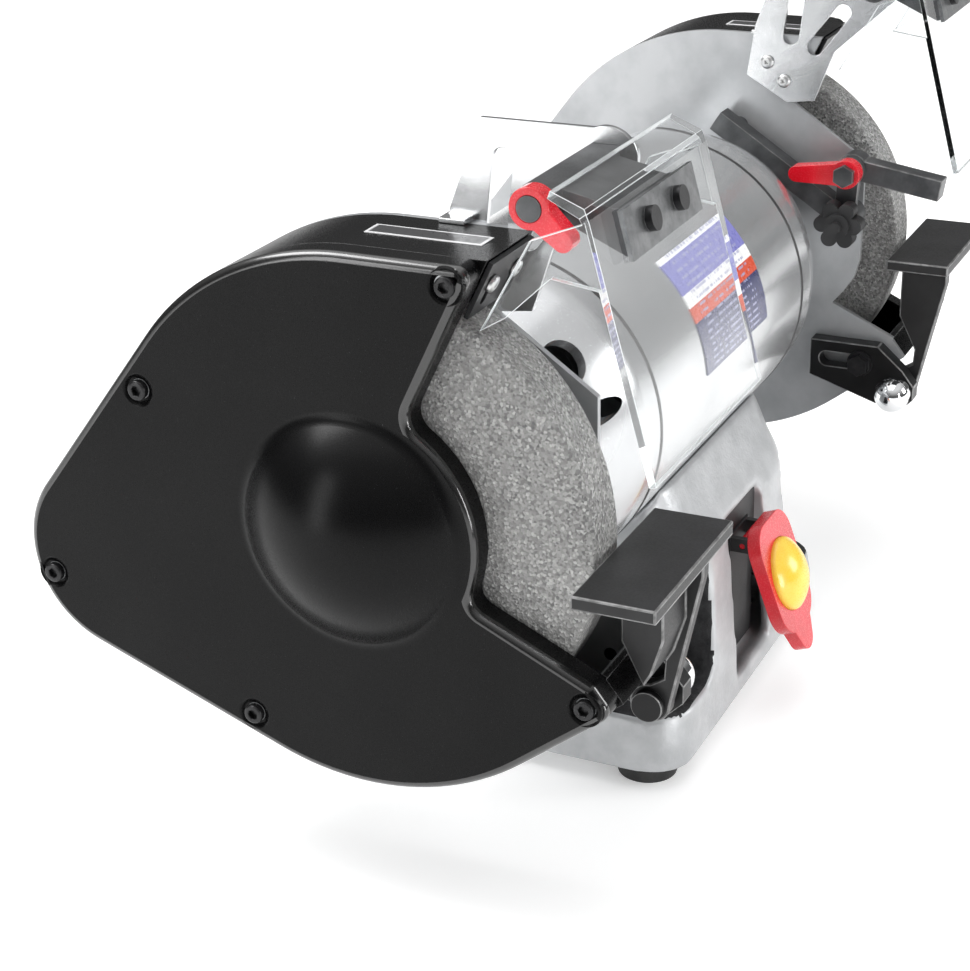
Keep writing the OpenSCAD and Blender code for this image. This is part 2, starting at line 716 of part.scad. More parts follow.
module cover_screws() color([0.10, 0.10, 0.10]) on_spindle() both()
  for (p = cover_screw_pts) {
    bar_x(cover_face - 14, 14 + eps, screw_r, p[0], p[1]);
    bar_x(cover_face, 2.6, 4.6, p[0], p[1]);
  }

module guard_screws() color([0.20, 0.20, 0.20]) on_spindle() both()
  for (a = [45:90:315]) rotate([-a, 0, 0]) {
    bar_x(plate_in - 12, 12 + plate_t, 2.45, -33, 0);
    bar_x(plate_out, 3, 4.4, -33, 0);
  }

// Steel plate across the mouth's upper edge, drawn back as a wheel is changed
defl_u = (plate_out + cover_back) / 2;
defl_w = cover_back - plate_out - 4;
defl_travel = 8;

module spark_deflector() color([0.08, 0.08, 0.08]) difference() {
  across(defl_u - defl_w / 2, defl_w)
    lip_strip(wheel_r + 3.5, lip_end - 1, gap, gap + 2);
  for (s = [-1, 1]) for (d = [0:1:defl_travel])
    lip_bar(defl_u + s * 11, gap - 1, gap + 3, 2.3, lip_screw - d);
}
module left_spark_deflector() on_spindle() left() spark_deflector();
module right_spark_deflector() on_spindle() spark_deflector();

// Screws of one size: two hold each deflector and two hold each shield post
module pan_head_screws() color([0.20, 0.20, 0.20]) on_spindle() both() {
  for (s = [-1, 1]) {
    lip_bar(defl_u + s * 11, -band_t, 2 * gap + 2 + eps, 2, lip_screw);
    lip_bar(defl_u + s * 11, 2 * gap + 2, 2 * gap + 4.6, 3.8, lip_screw);
  }
  for (q = post_bolt_pts) {
    bar_x(post_u - eps, post_t + plate_t + 0.2, 2, q[0], q[1]);
    bar_x(post_u - 2.6, 2.6, 3.8, q[0], q[1]);
  }
}

// ---------- eye shields ----------

post_t = 3;
post_u = plate_in - post_t;
rod_z = guard_r + rod_up;
rod_hole = rod_side / 2 - 0.5;

module slot_2d(p, q, r) {
  d = q - p;
  a = atan2(d[1], d[0]);
  translate(p) circle(r);
  translate(q) circle(r);
  translate(p) rotate(a) translate([0, over - r]) square([norm(d), 2 * (r - over)]);
}

// Slotted steel plate that stands on the guard and holds the hinge rod
module shield_post() color([0.80, 0.81, 0.82]) difference() {
  union() {
    across(post_u, post_t) union() {
      polygon([[-16, guard_r - 23], [-20, guard_r + 5], [-34, rod_z + 12], [-rod_y, rod_z + 12],
        [-rod_y - 12, rod_z], [-rod_y - 6, rod_z - 12], [-66, guard_r - 7],
        [-56, guard_r - 35], [-40, guard_r - 37]]);
      translate([-rod_y, rod_z]) circle(13);
    }
    // folded tab over the top of the guard
    translate([post_u, -30, guard_r + 0.05]) cube([plate_in + 7 - post_u, 12, 2.2]);
  }
  across(post_u - 1, post_t + 2) {
    slot_2d([-41, guard_r], [-44, rod_z - 4], 4.5);
    slot_2d([-55, guard_r - 5], [-70, rod_z - 16], 4.5);
    translate([-rod_y, rod_z]) circle(rod_hole + run_fit);
    for (q = post_bolt_pts) translate(q) circle(2.3);
  }
}
module left_shield_post() on_spindle() left() shield_post();
module right_shield_post() on_spindle() shield_post();

tab_t = 3;
panel_low = [-rod_y - 54, rod_z - 93];     // lower edge of the clear panel
panel_top = [-rod_y - 28, rod_z + 2];      // fold between the panel and its roof
panel_dir = (panel_top - panel_low) / norm(panel_top - panel_low);
panel_nrm = [panel_dir[1], -panel_dir[0]];        // towards the wheel
clamp_at = panel_top - panel_dir * 11;
bolt_half = 14.5;                 // half the distance between the two clamp bolts
shield_u0 = wheel_mid - shield_w / 2;

module shield_rod() color([0.22, 0.22, 0.22]) difference() {
  union() {
    // collar and round journal in the post, then the square bar
    bar_x(post_u - 6, 6 - gap, rod_side / 2 + 2.5, -rod_y, rod_z);
    bar_x(post_u - 6, 6 + post_t + gap + eps, rod_hole, -rod_y, rod_z);
    translate([post_u + post_t + gap, -rod_y - rod_side / 2, rod_z - rod_side / 2])
      cube([wheel_mid + 34 - post_u - post_t - gap, rod_side, rod_side]);
    // tab that runs forward to the panel
    across(wheel_mid - 26, 52) polygon([[-rod_y, rod_z - 5], [-rod_y, rod_z + 4],
      clamp_at + panel_nrm * tab_t + panel_dir * 8, clamp_at + panel_dir * 8,
      clamp_at - panel_dir * 10, clamp_at + panel_nrm * tab_t - panel_dir * 10]);
    bar_x(wheel_mid + 34 - eps, 8.5, 4.9, -rod_y, rod_z);
  }
  for (s = [-1, 1]) clamp_bar(s, -8, 1, 2.8);
}

// A round bar square to the panel at clamp bolt s, from f0 behind it to f1 in front
module clamp_bar(s, f0, f1, r) {
  c = clamp_at - panel_nrm * f0;
  translate([wheel_mid + s * bolt_half, c[0], c[1]])
    rotate([atan2(panel_nrm[1], panel_nrm[0]), 0, 0]) rotate([90, 0, 0])
      cylinder(h = f1 - f0, r = r);
}
module left_shield_rod() on_spindle() left() shield_rod();
module right_shield_rod() on_spindle() shield_rod();

// A flat strip of sheet between two points, its inner face on the line between them
module sheet(p, q, t) {
  d = (q - p) / norm(q - p);
  n = [d[1], -d[0]];
  polygon([p, q, q - n * t, p - n * t]);
}

// Clear panel with a short roof and two side wings
module eye_shield() color([0.85, 0.90, 0.92, 0.35]) difference() {
  union() {
    across(shield_u0, shield_w) {
      sheet(panel_low, panel_top, shield_t);
      polygon([panel_top, panel_top - panel_nrm * shield_t,
        panel_top - panel_nrm * shield_t + [2, 5], panel_top + [12, 8 + shield_t],
        panel_top + [13, 8], panel_top + [1, 2]]);
    }
    for (u = [shield_u0, shield_u0 + shield_w - shield_t]) across(u, shield_t)
      polygon([panel_top, [-rod_y - 8, rod_z - 6], [-rod_y + 12, rod_z - 42],
        [-rod_y + 2, rod_z - 36], [-rod_y - 16, rod_z - 19], panel_low + panel_dir * 74]);
  }
  for (s = [-1, 1]) clamp_bar(s, -1, shield_t + 1, 3);
}
module left_eye_shield() on_spindle() left() eye_shield();
module right_eye_shield() on_spindle() eye_shield();

// Plate in front of the panel, with its two bolts into the rod's tab
module shield_clamp() color([0.45, 0.46, 0.47]) {
  difference() {
    across(wheel_mid - 36, 72)
      sheet(clamp_at - panel_dir * 10 - panel_nrm * shield_t,
        clamp_at + panel_dir * 9 - panel_nrm * shield_t, 2);
    for (s = [-1, 1]) clamp_bar(s, shield_t - 1, shield_t + 3, 2.9);
  }
  for (s = [-1, 1]) {
    clamp_bar(s, -tab_t, shield_t + 2 + eps, 2.7);
    clamp_bar(s, shield_t + 2, shield_t + 5, 4.8);
  }
}
module left_shield_clamp() on_spindle() left() shield_clamp();
module right_shield_clamp() on_spindle() shield_clamp();

// Red locking lever on the outer end of the hinge rod
module shield_lever() color([0.78, 0.08, 0.12]) difference() {
  across(wheel_mid + 34 + gap, 8) {
    translate([-rod_y, rod_z]) circle(8);
    hull() {
      translate([-rod_y, rod_z]) circle(5.5, $fn = 32);
      translate([-rod_y - 13, rod_z - 11]) circle(4, $fn = 32);
    }
  }
  bar_x(wheel_mid + 33, 12, 4.9 + run_fit, -rod_y, rod_z);
}
module left_shield_lever() on_spindle() left() shield_lever();
module right_shield_lever() on_spindle() shield_lever();

// ---------- tool rests ----------

table_back = -(wheel_r + rest_gap);
table_u0 = wheel_mid - table_w / 2;
tilt_at = lug_low + [2, -17.9];   // pivot of the table, in front of and below the lug
leg_u = plate_out + 1;
leg_t = 32;
reach_t = 7;
side_t = 10;
side_in = plate_in - side_t - gap;
stud_r = 4;

module rest_table() color([0.16, 0.16, 0.16]) difference() {
  union() {
    translate([table_u0, table_back - table_dep, -table_t])
      cube([table_w, table_dep, table_t]);
    // block in front of the guard's lug
    across(leg_u, leg_t) polygon([[table_back - 5, -table_t + eps],
      [table_back - 5, lug_high[1] + 10], lug_low + [-4.5, 4], lug_low + [-8, 10],
      lug_low + [-13, 26], [table_back - table_dep + 12, -table_t + eps]]);
    // arm that reaches down from it to the pivot
    across(leg_u, reach_t) {
      polygon([[table_back - 5, -table_t + eps], [table_back - 5, lug_high[1] + 10],
        lug_low + [-4.5, 4], lug_low + [-4, -5], tilt_at + [0, 9], tilt_at + [0, -9],
        tilt_at + [-9, 0], [table_back - table_dep + 4, -table_t - 10],
        [table_back - table_dep + 4, -table_t + eps]]);
      translate(tilt_at) circle(9);
    }
  }
  bar_x(leg_u - 1, reach_t + 2, stud_r + run_fit, tilt_at[0], tilt_at[1]);
}
module left_rest_table() on_spindle() left() rest_table();
module right_rest_table() on_spindle() rest_table();

// Slotted plate inboard of the guard, with the stud that the table turns on
module rest_bracket() color([0.06, 0.06, 0.06]) {
  difference() {
    across(side_in, side_t) {
      polygon([rest_stud + [rest_travel + 10, 11], rest_stud + [rest_travel + 10, -11],
        tilt_at + [4, -11], tilt_at + [-4, -11], tilt_at + [-11, -4], tilt_at + [-11, 4],
        tilt_at + [-4, 13], rest_stud + [-10, 11]]);
    }
    across(side_in - 1, side_t + 2)
      slot_2d(rest_stud, rest_stud + [rest_travel, 0], 4.3);
  }
  bar_x(side_in - 12, leg_u + reach_t + gap - side_in + 12, stud_r, tilt_at[0], tilt_at[1]);
  bar_x(leg_u + reach_t + gap, 4, 7, tilt_at[0], tilt_at[1]);
}
module left_rest_bracket() on_spindle() left() rest_bracket();
module right_rest_bracket() on_spindle() rest_bracket();

// Chromed domed nut on the inner end of the table's stud
module rest_knob() color([0.86, 0.87, 0.88]) difference() {
  translate([side_in - gap, tilt_at[0], tilt_at[1]]) rotate([0, -90, 0])
    rotate_extrude() intersection() {
      union() {
        square([10, 6]);
        translate([0, 5]) circle(10);
      }
      square([12, 30]);
    }
  bar_x(side_in - 13, 14, stud_r + run_fit, tilt_at[0], tilt_at[1]);
}
module left_rest_knob() on_spindle() left() rest_knob();
module right_rest_knob() on_spindle() rest_knob();

// Bolts through the brackets' slots into the guard plates
module rest_bolts() color([0.20, 0.20, 0.20]) on_spindle() both() {
  bar_x(side_in - gap - 5, side_t + 2 * gap + 5 + plate_t, 2.95, rest_stud[0], rest_stud[1]);
  bar_x(side_in - gap - 1.5, 1.5, 7.5, rest_stud[0], rest_stud[1]);
  hex_x(side_in - gap - 6.5, 5, 11, rest_stud[0], rest_stud[1]);
}

// ---------- jointed arm on the right-hand guard ----------

arm_side = 12;
arm_foot = [-80, 22];             // knob end of the link
arm_elbow = [-82, 50];            // pivot of the front bar
arm_u = plate_in - 18;
elbow_r = 3.5;

// Square bar in the plane of the guard, centred on the line from p to q
module flat_bar(u, t, p, q, w) {
  d = (q - p) / norm(q - p);
  n = [-d[1], d[0]];
  across(u, t) polygon([p + n * w / 2, q + n * w / 2, q - n * w / 2, p - n * w / 2]);
}

module side_arm_rear_bar() color([0.28, 0.29, 0.29]) on_spindle() difference() {
  union() {
    flat_bar(arm_u, arm_side, arm_foot, arm_foot + [77, 50], arm_side);
    bar_x(arm_u, arm_side, 9, arm_foot[0], arm_foot[1]);
    // link that carries the elbow
    flat_bar(arm_u, 5, arm_foot, arm_elbow, arm_side);
    bar_x(arm_u, 5, 8, arm_elbow[0], arm_elbow[1]);
    // elbow pin with its head
    bar_x(arm_u - 10, arm_side + 16, elbow_r, arm_elbow[0], arm_elbow[1]);
    hex_x(arm_u - 13, 4, 11, arm_elbow[0], arm_elbow[1]);
    // stand-offs to the guard plate
    bar_x(arm_u, plate_in - arm_u, 5, arm_foot[0] + 68, arm_foot[1] + 44.2);
    bar_x(arm_u + arm_side - eps, plate_in - arm_u - arm_side + eps, 8,
      arm_foot[0], arm_foot[1]);
  }
  bar_x(arm_u - 1, arm_side + 2, 3.1, arm_foot[0], arm_foot[1]);
}

module side_arm_front_bar() color([0.28, 0.29, 0.29]) on_spindle() difference() {
  union() {
    flat_bar(arm_u + 5 + gap, arm_side, arm_elbow, arm_elbow + [-50, -8], arm_side);
    bar_x(arm_u + 5 + gap, arm_side, 8.5, arm_elbow[0], arm_elbow[1]);
  }
  bar_x(arm_u, arm_side + 10, elbow_r + run_fit, arm_elbow[0], arm_elbow[1]);
}

module side_arm_knob() color([0.08, 0.08, 0.08]) on_spindle() {
  bar_x(arm_u - 14, 14 - gap, 7, arm_foot[0], arm_foot[1]);
  for (a = [0:60:300]) translate([0, arm_foot[0], arm_foot[1]]) rotate([a, 0, 0])
    bar_x(arm_u - 12, 9, 4.6, 9, 0);
  bar_x(arm_u - 18, 30, 3, arm_foot[0], arm_foot[1]);
}

// Red lever on the elbow pin, inboard of the link
module side_arm_lever() color([0.78, 0.08, 0.12]) on_spindle() difference() {
  across(arm_u - 8.4, 8) {
    translate(arm_elbow) circle(8);
    hull() {
      translate(arm_elbow) circle(6.5, $fn = 32);
      translate(arm_elbow + [28, -2]) circle(4.5, $fn = 32);
    }
  }
  bar_x(arm_u - 10, 12, elbow_r + run_fit, arm_elbow[0], arm_elbow[1]);
}

base_casting();
base_bottom_plate();
bottom_plate_screws();
rubber_feet();
switch_plate();
switch_body();
paddle();
paddle_centre();
cord_gland();
run_capacitor();
motor_shell();
left_end_bell();
right_end_bell();
end_bell_screws();
stator_core();
stator_windings();
rating_plate();
motor_mount_screws();
rotor_shaft();
rotor_core();
cooling_fan();
ball_bearings();
wheel_flanges();
wheel_blotters();
left_wheel();
right_wheel();
left_arbor_nut();
right_arbor_nut();
left_guard_plate();
right_guard_plate();
left_guard_band();
right_guard_band();
left_cover();
right_cover();
cover_screws();
guard_screws();
left_spark_deflector();
right_spark_deflector();
pan_head_screws();
left_shield_post();
right_shield_post();
left_shield_rod();
right_shield_rod();
left_eye_shield();
right_eye_shield();
left_shield_clamp();
right_shield_clamp();
left_shield_lever();
right_shield_lever();
left_rest_table();
right_rest_table();
left_rest_bracket();
right_rest_bracket();
left_rest_knob();
right_rest_knob();
rest_bolts();
side_arm_rear_bar();
side_arm_front_bar();
side_arm_knob();
side_arm_lever();
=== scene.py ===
import json
import math
import bmesh
import bpy
from mathutils import Matrix, Vector
from mathutils.geometry import delaunay_2d_cdt


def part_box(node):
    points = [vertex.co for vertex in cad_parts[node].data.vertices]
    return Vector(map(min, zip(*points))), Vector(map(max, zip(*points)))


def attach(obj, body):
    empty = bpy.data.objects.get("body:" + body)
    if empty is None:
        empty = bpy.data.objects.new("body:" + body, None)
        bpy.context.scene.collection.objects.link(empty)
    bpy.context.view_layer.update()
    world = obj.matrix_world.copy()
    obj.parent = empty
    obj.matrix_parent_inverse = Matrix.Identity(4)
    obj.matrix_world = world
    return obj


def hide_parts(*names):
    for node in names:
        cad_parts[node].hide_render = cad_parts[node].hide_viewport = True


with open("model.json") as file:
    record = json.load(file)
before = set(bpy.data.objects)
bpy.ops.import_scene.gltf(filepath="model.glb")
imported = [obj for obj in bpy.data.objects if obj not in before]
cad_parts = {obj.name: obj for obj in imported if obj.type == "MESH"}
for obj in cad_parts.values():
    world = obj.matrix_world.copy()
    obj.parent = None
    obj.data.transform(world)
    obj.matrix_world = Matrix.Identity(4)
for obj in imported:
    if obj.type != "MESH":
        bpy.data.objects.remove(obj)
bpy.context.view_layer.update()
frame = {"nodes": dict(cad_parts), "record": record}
nodes = frame["nodes"]


# ---- Cast base ----
# One grey-iron casting, sand cast and sprayed in silver hammer paint. Its edges are as round
# as a casting's are, and both front corners are hollow, with a rougher inside that is painted dark as
# shade.

shaft_low, shaft_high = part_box("rotor_shaft")
spindle_z = (shaft_low[2] + shaft_high[2]) / 2


def link(tree, a, out, b, into):
    tree.links.new(a.outputs[out], b.inputs[into])


def noise_at(tree, place, size, detail=4.0, rough=0.55):
    """Noise whose patches are about size metres across."""
    noise = tree.nodes.new("ShaderNodeTexNoise")
    noise.inputs["Scale"].default_value = 1 / size
    noise.inputs["Detail"].default_value = detail
    noise.inputs["Roughness"].default_value = rough
    link(tree, place, "Object", noise, "Vector")
    return noise


def spread(tree, source, out, before, after):
    """Takes a value from one range to another, and holds it there past the ends."""
    step = tree.nodes.new("ShaderNodeMapRange")
    step.inputs["From Min"].default_value = before[0]
    step.inputs["From Max"].default_value = before[1]
    step.inputs["To Min"].default_value = after[0]
    step.inputs["To Max"].default_value = after[1]
    link(tree, source, out, step, "Value")
    return step


def blend_colours(tree, a, b, factor=None, out="Result"):
    """Mixes two colours, each plain or another mix, by the factor node's output."""
    mix = tree.nodes.new("ShaderNodeMix")
    mix.data_type = "RGBA"
    for socket, value in ((mix.inputs[6], a), (mix.inputs[7], b)):
        if hasattr(value, "outputs"):
            tree.links.new(value.outputs[2], socket)
        else:
            socket.default_value = (*value, 1)
    if factor is not None:
        link(tree, factor, out, mix, 0)
    return mix


def maths(tree, kind, *values):
    """A math node on plain numbers and (node, output) pairs."""
    node = tree.nodes.new("ShaderNodeMath")
    node.operation = kind
    for socket, value in zip(node.inputs, values):
        if isinstance(value, tuple):
            tree.links.new(value[0].outputs[value[1]], socket)
        else:
            socket.default_value = value
    return node


def new_finish(name):
    """A new material, with its node tree, its shader and its Object coordinates."""
    mat = bpy.data.materials.new(name)
    mat.use_nodes = True
    tree = mat.node_tree
    return mat, tree, tree.nodes["Principled BSDF"], tree.nodes.new("ShaderNodeTexCoord")


def paint(name, dark, light, metallic, roughness, patch, grain, bump, worn_and_lit_edge=None, coat=0.0, shine=0.5):
    """A finish with patches of two shades, a grain in its roughness and bump, and edges lighter in
    patches, as wear and painted highlight.
    """
    mat, tree, shader, place = new_finish(name)
    shader.inputs["Metallic"].default_value = metallic
    shader.inputs["Coat Weight"].default_value = coat
    shader.inputs["Specular IOR Level"].default_value = shine
    shader.inputs["Coat Roughness"].default_value = 0.12
    patches = spread(tree, noise_at(tree, place, patch), "Fac", (0.35, 0.65), (0, 1))
    colour = blend_colours(tree, dark, light, patches)
    if worn_and_lit_edge is not None:
        # Convex edges, found by pointiness, turn lighter in patches: worn paint and a painted edge
        # highlight.
        edge = tree.nodes.new("ShaderNodeNewGeometry")
        rim = spread(tree, edge, "Pointiness", (0.53, 0.60), (0, 1))
        rub = spread(tree, noise_at(tree, place, patch / 3, 6), "Fac", (0.42, 0.62), (0, 0.75))
        both = maths(tree, "MULTIPLY", (rim, 0), (rub, 0))
        colour = blend_colours(tree, colour, worn_and_lit_edge, both, "Value")
    tree.links.new(colour.outputs[2], shader.inputs["Base Color"])
    fine = noise_at(tree, place, grain, 5, 0.6)
    gloss = spread(tree, fine, "Fac", (0.3, 0.7), (roughness * 0.86, min(1, roughness * 1.16)))
    tree.links.new(gloss.outputs[0], shader.inputs["Roughness"])
    relief = tree.nodes.new("ShaderNodeBump")
    relief.inputs["Strength"].default_value = 0.6
    relief.inputs["Distance"].default_value = bump
    link(tree, fine, "Fac", relief, "Height")
    link(tree, relief, "Normal", shader, "Normal")
    return mat


def merged_copy(node, flatten=0.6):
    """The node's mesh with its triangles joined, as a bmesh."""
    bm = bmesh.new()
    bm.from_mesh(nodes[node].data)
    bmesh.ops.remove_doubles(bm, verts=bm.verts, dist=2e-6)
    if flatten:
        bmesh.ops.dissolve_limit(bm, angle_limit=math.radians(flatten), verts=bm.verts,
                                 edges=bm.edges, delimit={"NORMAL"})
    return bm


def shade_smooth(bm, up_to):
    """Smooth shading, but for the edges sharper than an angle in degrees."""
    for face in bm.faces:
        face.smooth = True
    for edge in bm.edges:
        edge.smooth = len(edge.link_faces) == 2 and edge.calc_face_angle(0) < math.radians(up_to)


def put_in_scene(name, data):
    obj = bpy.data.objects.new(name, data)
    bpy.context.scene.collection.objects.link(obj)
    return obj


def object_of(bm, name):
    mesh = bpy.data.meshes.new(name)
    bm.to_mesh(mesh)
    bm.free()
    return put_in_scene(name, mesh)


def piece_of(bm, name, mat, smooth=35):
    """A new object of one material from a bmesh."""
    for face in bm.faces:
        face.material_index = 0
    shade_smooth(bm, smooth)
    obj = object_of(bm, name)
    obj.data.materials.clear()
    obj.data.materials.append(mat)
    return obj


def settle(obj):
    """Takes the modifiers' result as the object's own mesh."""
    graph = bpy.context.evaluated_depsgraph_get()
    result = bpy.data.meshes.new_from_object(obj.evaluated_get(graph), depsgraph=graph)
    obj.modifiers.clear()
    old = obj.data
    obj.data = result
    result.name = old.name
    bpy.data.meshes.remove(old)
    return obj


def body_of(node):
    """The moving body that a node belongs to."""
    for body, members in frame["record"]["behaviour"]["bodies"].items():
        if node in members:
            return body


def stands_for(obj, node):
    """Shows obj in place of the node, on the node's body."""
    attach(obj, body_of(node))
    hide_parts(node)


# The silver paint is lighter on convex edges in patches: wear and painted highlight.
hammer_paint = paint("silver hammer paint", (0.42, 0.43, 0.44), (0.50, 0.51, 0.52), 0.5, 0.40,
                     0.014, 0.0026, 0.00035, worn_and_lit_edge=(0.70, 0.71, 0.72), coat=0.1)
shade_dark_inside = paint("unpainted cast iron", (0.012, 0.012, 0.013), (0.035, 0.035, 0.037), 0.1, 0.7,
                    0.007, 0.0016, 0.0007, shine=0.3)
casting = piece_of(merged_copy("base_casting", 0), "cast_base", hammer_paint, 60)
shape = casting.modifiers.new("sand cast", "REMESH")
shape.mode = "VOXEL"
shape.voxel_size = 0.0021
shape.use_smooth_shade = True
ease = casting.modifiers.new("rounded by the mould", "SMOOTH")
ease.factor = 0.5
ease.iterations = 9
settle(casting)
casting.data.materials.append(shade_dark_inside)

# Half lengths and half widths of the outside at a few heights. Whatever lies deeper than
# skin_depth within them, in a front corner, is the rough inside of its hollow, painted dark as shade.
skin_heights = (0.009, 0.039, 0.0574, 0.0839, 0.1034, 0.1218)
skin_ends = (0.116, 0.113, 0.101, 0.091, 0.086, 0.084)
skin_fronts = (0.094, 0.093, 0.091, 0.089, 0.086, 0.076)
skin_depth = 0.0018
hollow_in, hollow_floor, hollow_roof, hollow_back = 0.0565, 0.0372, 0.1105, 0.0500


def skin_at(z, sizes):
    """The size at height z, between those at the heights above and below."""
    for k in range(len(skin_heights) - 1):
        if z <= skin_heights[k + 1]:
            t = (z - skin_heights[k]) / (skin_heights[k + 1] - skin_heights[k])
            return sizes[k] + t * (sizes[k + 1] - sizes[k])
    return sizes[-1]


# Faces inside the hollows take the second, dark finish: painted shade.
for face in casting.data.polygons:
    x, y, z = face.center
    in_hollow = abs(x) > hollow_in and hollow_floor < z < hollow_roof and y < -hollow_back
    behind_end = abs(x) < skin_at(z, skin_ends) - skin_depth
    behind_front = y > -skin_at(z, skin_fronts) + skin_depth
    if in_hollow and behind_end and behind_front:
        face.material_index = 1
stands_for(casting, "base_casting")


# ---- Fittings of the base ----
# A pressed bottom plate on four screws, four moulded rubber feet round the bench bolts, and a
# rubber cord gland at the back. Small edges are softened as pressing and moulding leave them.

# Edges that turn by more than the first angle are rounded; less than the second shades smooth.
sharp_from, smooth_up_to = 32, 40


def round_edges(obj, width, steps, edge_coat=False):
    """Rounds the sharp edges; edge_coat gives the rounding the object's second material."""
    round_over = obj.modifiers.new("rounded edges", "BEVEL")
    round_over.width = width
    round_over.segments = steps
    round_over.limit_method = "ANGLE"
    round_over.angle_limit = math.radians(sharp_from)
    if edge_coat:
        round_over.material = 1
    settle(obj)
    bm = bmesh.new()
    bm.from_mesh(obj.data)
    bmesh.ops.remove_doubles(bm, verts=bm.verts, dist=1e-6)
    shade_smooth(bm, smooth_up_to)
    bm.to_mesh(obj.data)
    bm.free()


def even_shading(obj):
    fair = obj.modifiers.new("even shading", "WEIGHTED_NORMAL")
    fair.keep_sharp = True
    settle(obj)


def softened(node, mat, width=0.0005, steps=2, rubbed=None):
    """The node's shape with rounded edges, as a piece in its place; rubbed coats its edges, as worn paint
    on some pieces and as a painted highlight on the guard bands.
    """
    obj = piece_of(merged_copy(node), node + "_finished", mat, smooth_up_to)
    if rubbed is not None:
        obj.data.materials.append(rubbed)
    if width:
        round_edges(obj, width, steps, rubbed is not None)
    even_shading(obj)
    stands_for(obj, node)
    return obj


def recoat(node, mat):
    """A better finish on a node that keeps its own mesh."""
    obj = nodes[node]
    for k in range(len(obj.material_slots)):
        obj.material_slots[k].link = "DATA"
        obj.material_slots[k].material = mat
    if not obj.material_slots:
        obj.data.materials.append(mat)


zinc = paint("zinc plated steel", (0.48, 0.49, 0.50), (0.66, 0.66, 0.65), 1.0, 0.34, 0.012, 0.0006,
             0.00006)
black_steel = paint("black oxide steel", (0.012, 0.012, 0.013), (0.030, 0.030, 0.032), 0.6, 0.36,
                    0.006, 0.0005, 0.00005)
rubber = paint("moulded rubber", (0.012, 0.012, 0.012), (0.028, 0.028, 0.027), 0.0, 0.68, 0.008,
               0.0004, 0.0001)
softened("base_bottom_plate", zinc, 0.0003)
softened("bottom_plate_screws", black_steel, 0.0003)
softened("rubber_feet", rubber, 0.0012, 3)
softened("cord_gland", rubber, 0.0006)


# ---- Switch ----
# A black moulded plate fills the recess. The red paddle is moulded nylon, bowed forward over
# its yellow stop button, and hangs on a pin between the two ears of the switch body.

black_plastic = paint("textured black plastic", (0.014, 0.014, 0.015), (0.032, 0.032, 0.033), 0.0,
                      0.52, 0.02, 0.0005, 0.00008)
red_nylon = paint("red nylon", (0.58, 0.006, 0.014), (0.72, 0.012, 0.028), 0.0, 0.26, 0.02, 0.0008,
                  0.00003, coat=0.35)
yellow_nylon = paint("yellow nylon", (0.86, 0.56, 0.045), (0.95, 0.68, 0.09), 0.0, 0.28, 0.015,
                     0.0008, 0.00003, coat=0.3)
softened("switch_plate", black_plastic, 0.0006)
softened("switch_body", black_plastic, 0.0005)
softened("paddle", red_nylon, 0.0022, 4)
softened("paddle_centre", yellow_nylon, 0.0012, 4)


# ---- Motor ----
# The shell is rolled and turned steel, painted light silver; the end bells are die castings
# in the same paint with four vents each. Core, windings, bearings and fan sit inside.

silver_paint = paint("silver machine paint", (0.50, 0.51, 0.52), (0.60, 0.61, 0.62), 0.72, 0.24,
                     0.05, 0.0006, 0.00003, coat=0.45)
softened("motor_shell", silver_paint, 0.0008, 3)

bell_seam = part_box("right_end_bell")[0][0]
bell_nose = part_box("right_end_bell")[1][0]
bell_r, nose_r, bell_wall, hub_bore = 0.079, 0.042, 0.005, 0.0187


def turned(name, profile, mat, steps=128):
    """A closed section (along, radius), turned about the spindle line."""
    bm = bmesh.new()
    rings = []
    for k in range(steps):
        a = 2 * math.pi * k / steps
        rings.append([bm.verts.new((x, r * math.cos(a), spindle_z + r * math.sin(a)))
                      for x, r in profile])
    for k in range(steps):
        one, two = rings[k], rings[(k + 1) % steps]
        for i in range(len(profile)):
            j = (i + 1) % len(profile)
            bm.faces.new((one[i], one[j], two[j], two[i]))
    bmesh.ops.remove_doubles(bm, verts=bm.verts, dist=1e-6)
    bmesh.ops.dissolve_degenerate(bm, edges=bm.edges, dist=1e-7)
    bmesh.ops.recalc_face_normals(bm, faces=bm.faces)
    return piece_of(bm, name, mat)


def bell_section(side):
    """Outer and inner line of the bell, from its seam to its nose."""
    start, end = bell_seam + 0.014, bell_nose - 0.008
    outer, inner = [(bell_seam + 0.0006, bell_r - 0.0012), (bell_seam + 0.0016, bell_r)], []
    for k in range(49):
        a = math.pi / 2 * k / 48
        x = start + (end - start) * (0.4 * math.sin(a) ** 2 + 0.6 * k / 48)
        r = nose_r + (bell_r - nose_r) * math.cos(a) ** 0.9
        outer.append((x, r))
        inner.append((x - 0.0035, r - bell_wall))
    outer += [(bell_nose - 0.0015, nose_r), (bell_nose, nose_r - 0.0015), (bell_nose, hub_bore)]
    inner = [p for p in inner if p[0] < bell_nose - 0.02]
    hub = [(bell_nose - 0.026, hub_bore), (bell_nose - 0.026, inner[-1][1])]
    line = outer + hub + inner[::-1] + [(bell_seam + 0.0006, bell_r - bell_wall)]
    return [(side * x, r) for x, r in line]


def cutter_rod(name, start, direction, radius, length, sides=48):
    """A rod from start along direction, to be cut out of something else."""
    bm = bmesh.new()
    bmesh.ops.create_cone(bm, cap_ends=True, segments=sides, radius1=radius, radius2=radius,
                          depth=length)
    turn = Vector((0, 0, 1)).rotation_difference(Vector(direction).normalized()).to_matrix().to_4x4()
    bmesh.ops.transform(bm, matrix=Matrix.Translation(start) @ turn @
                        Matrix.Translation((0, 0, length / 2)), verts=bm.verts)
    return object_of(bm, name)


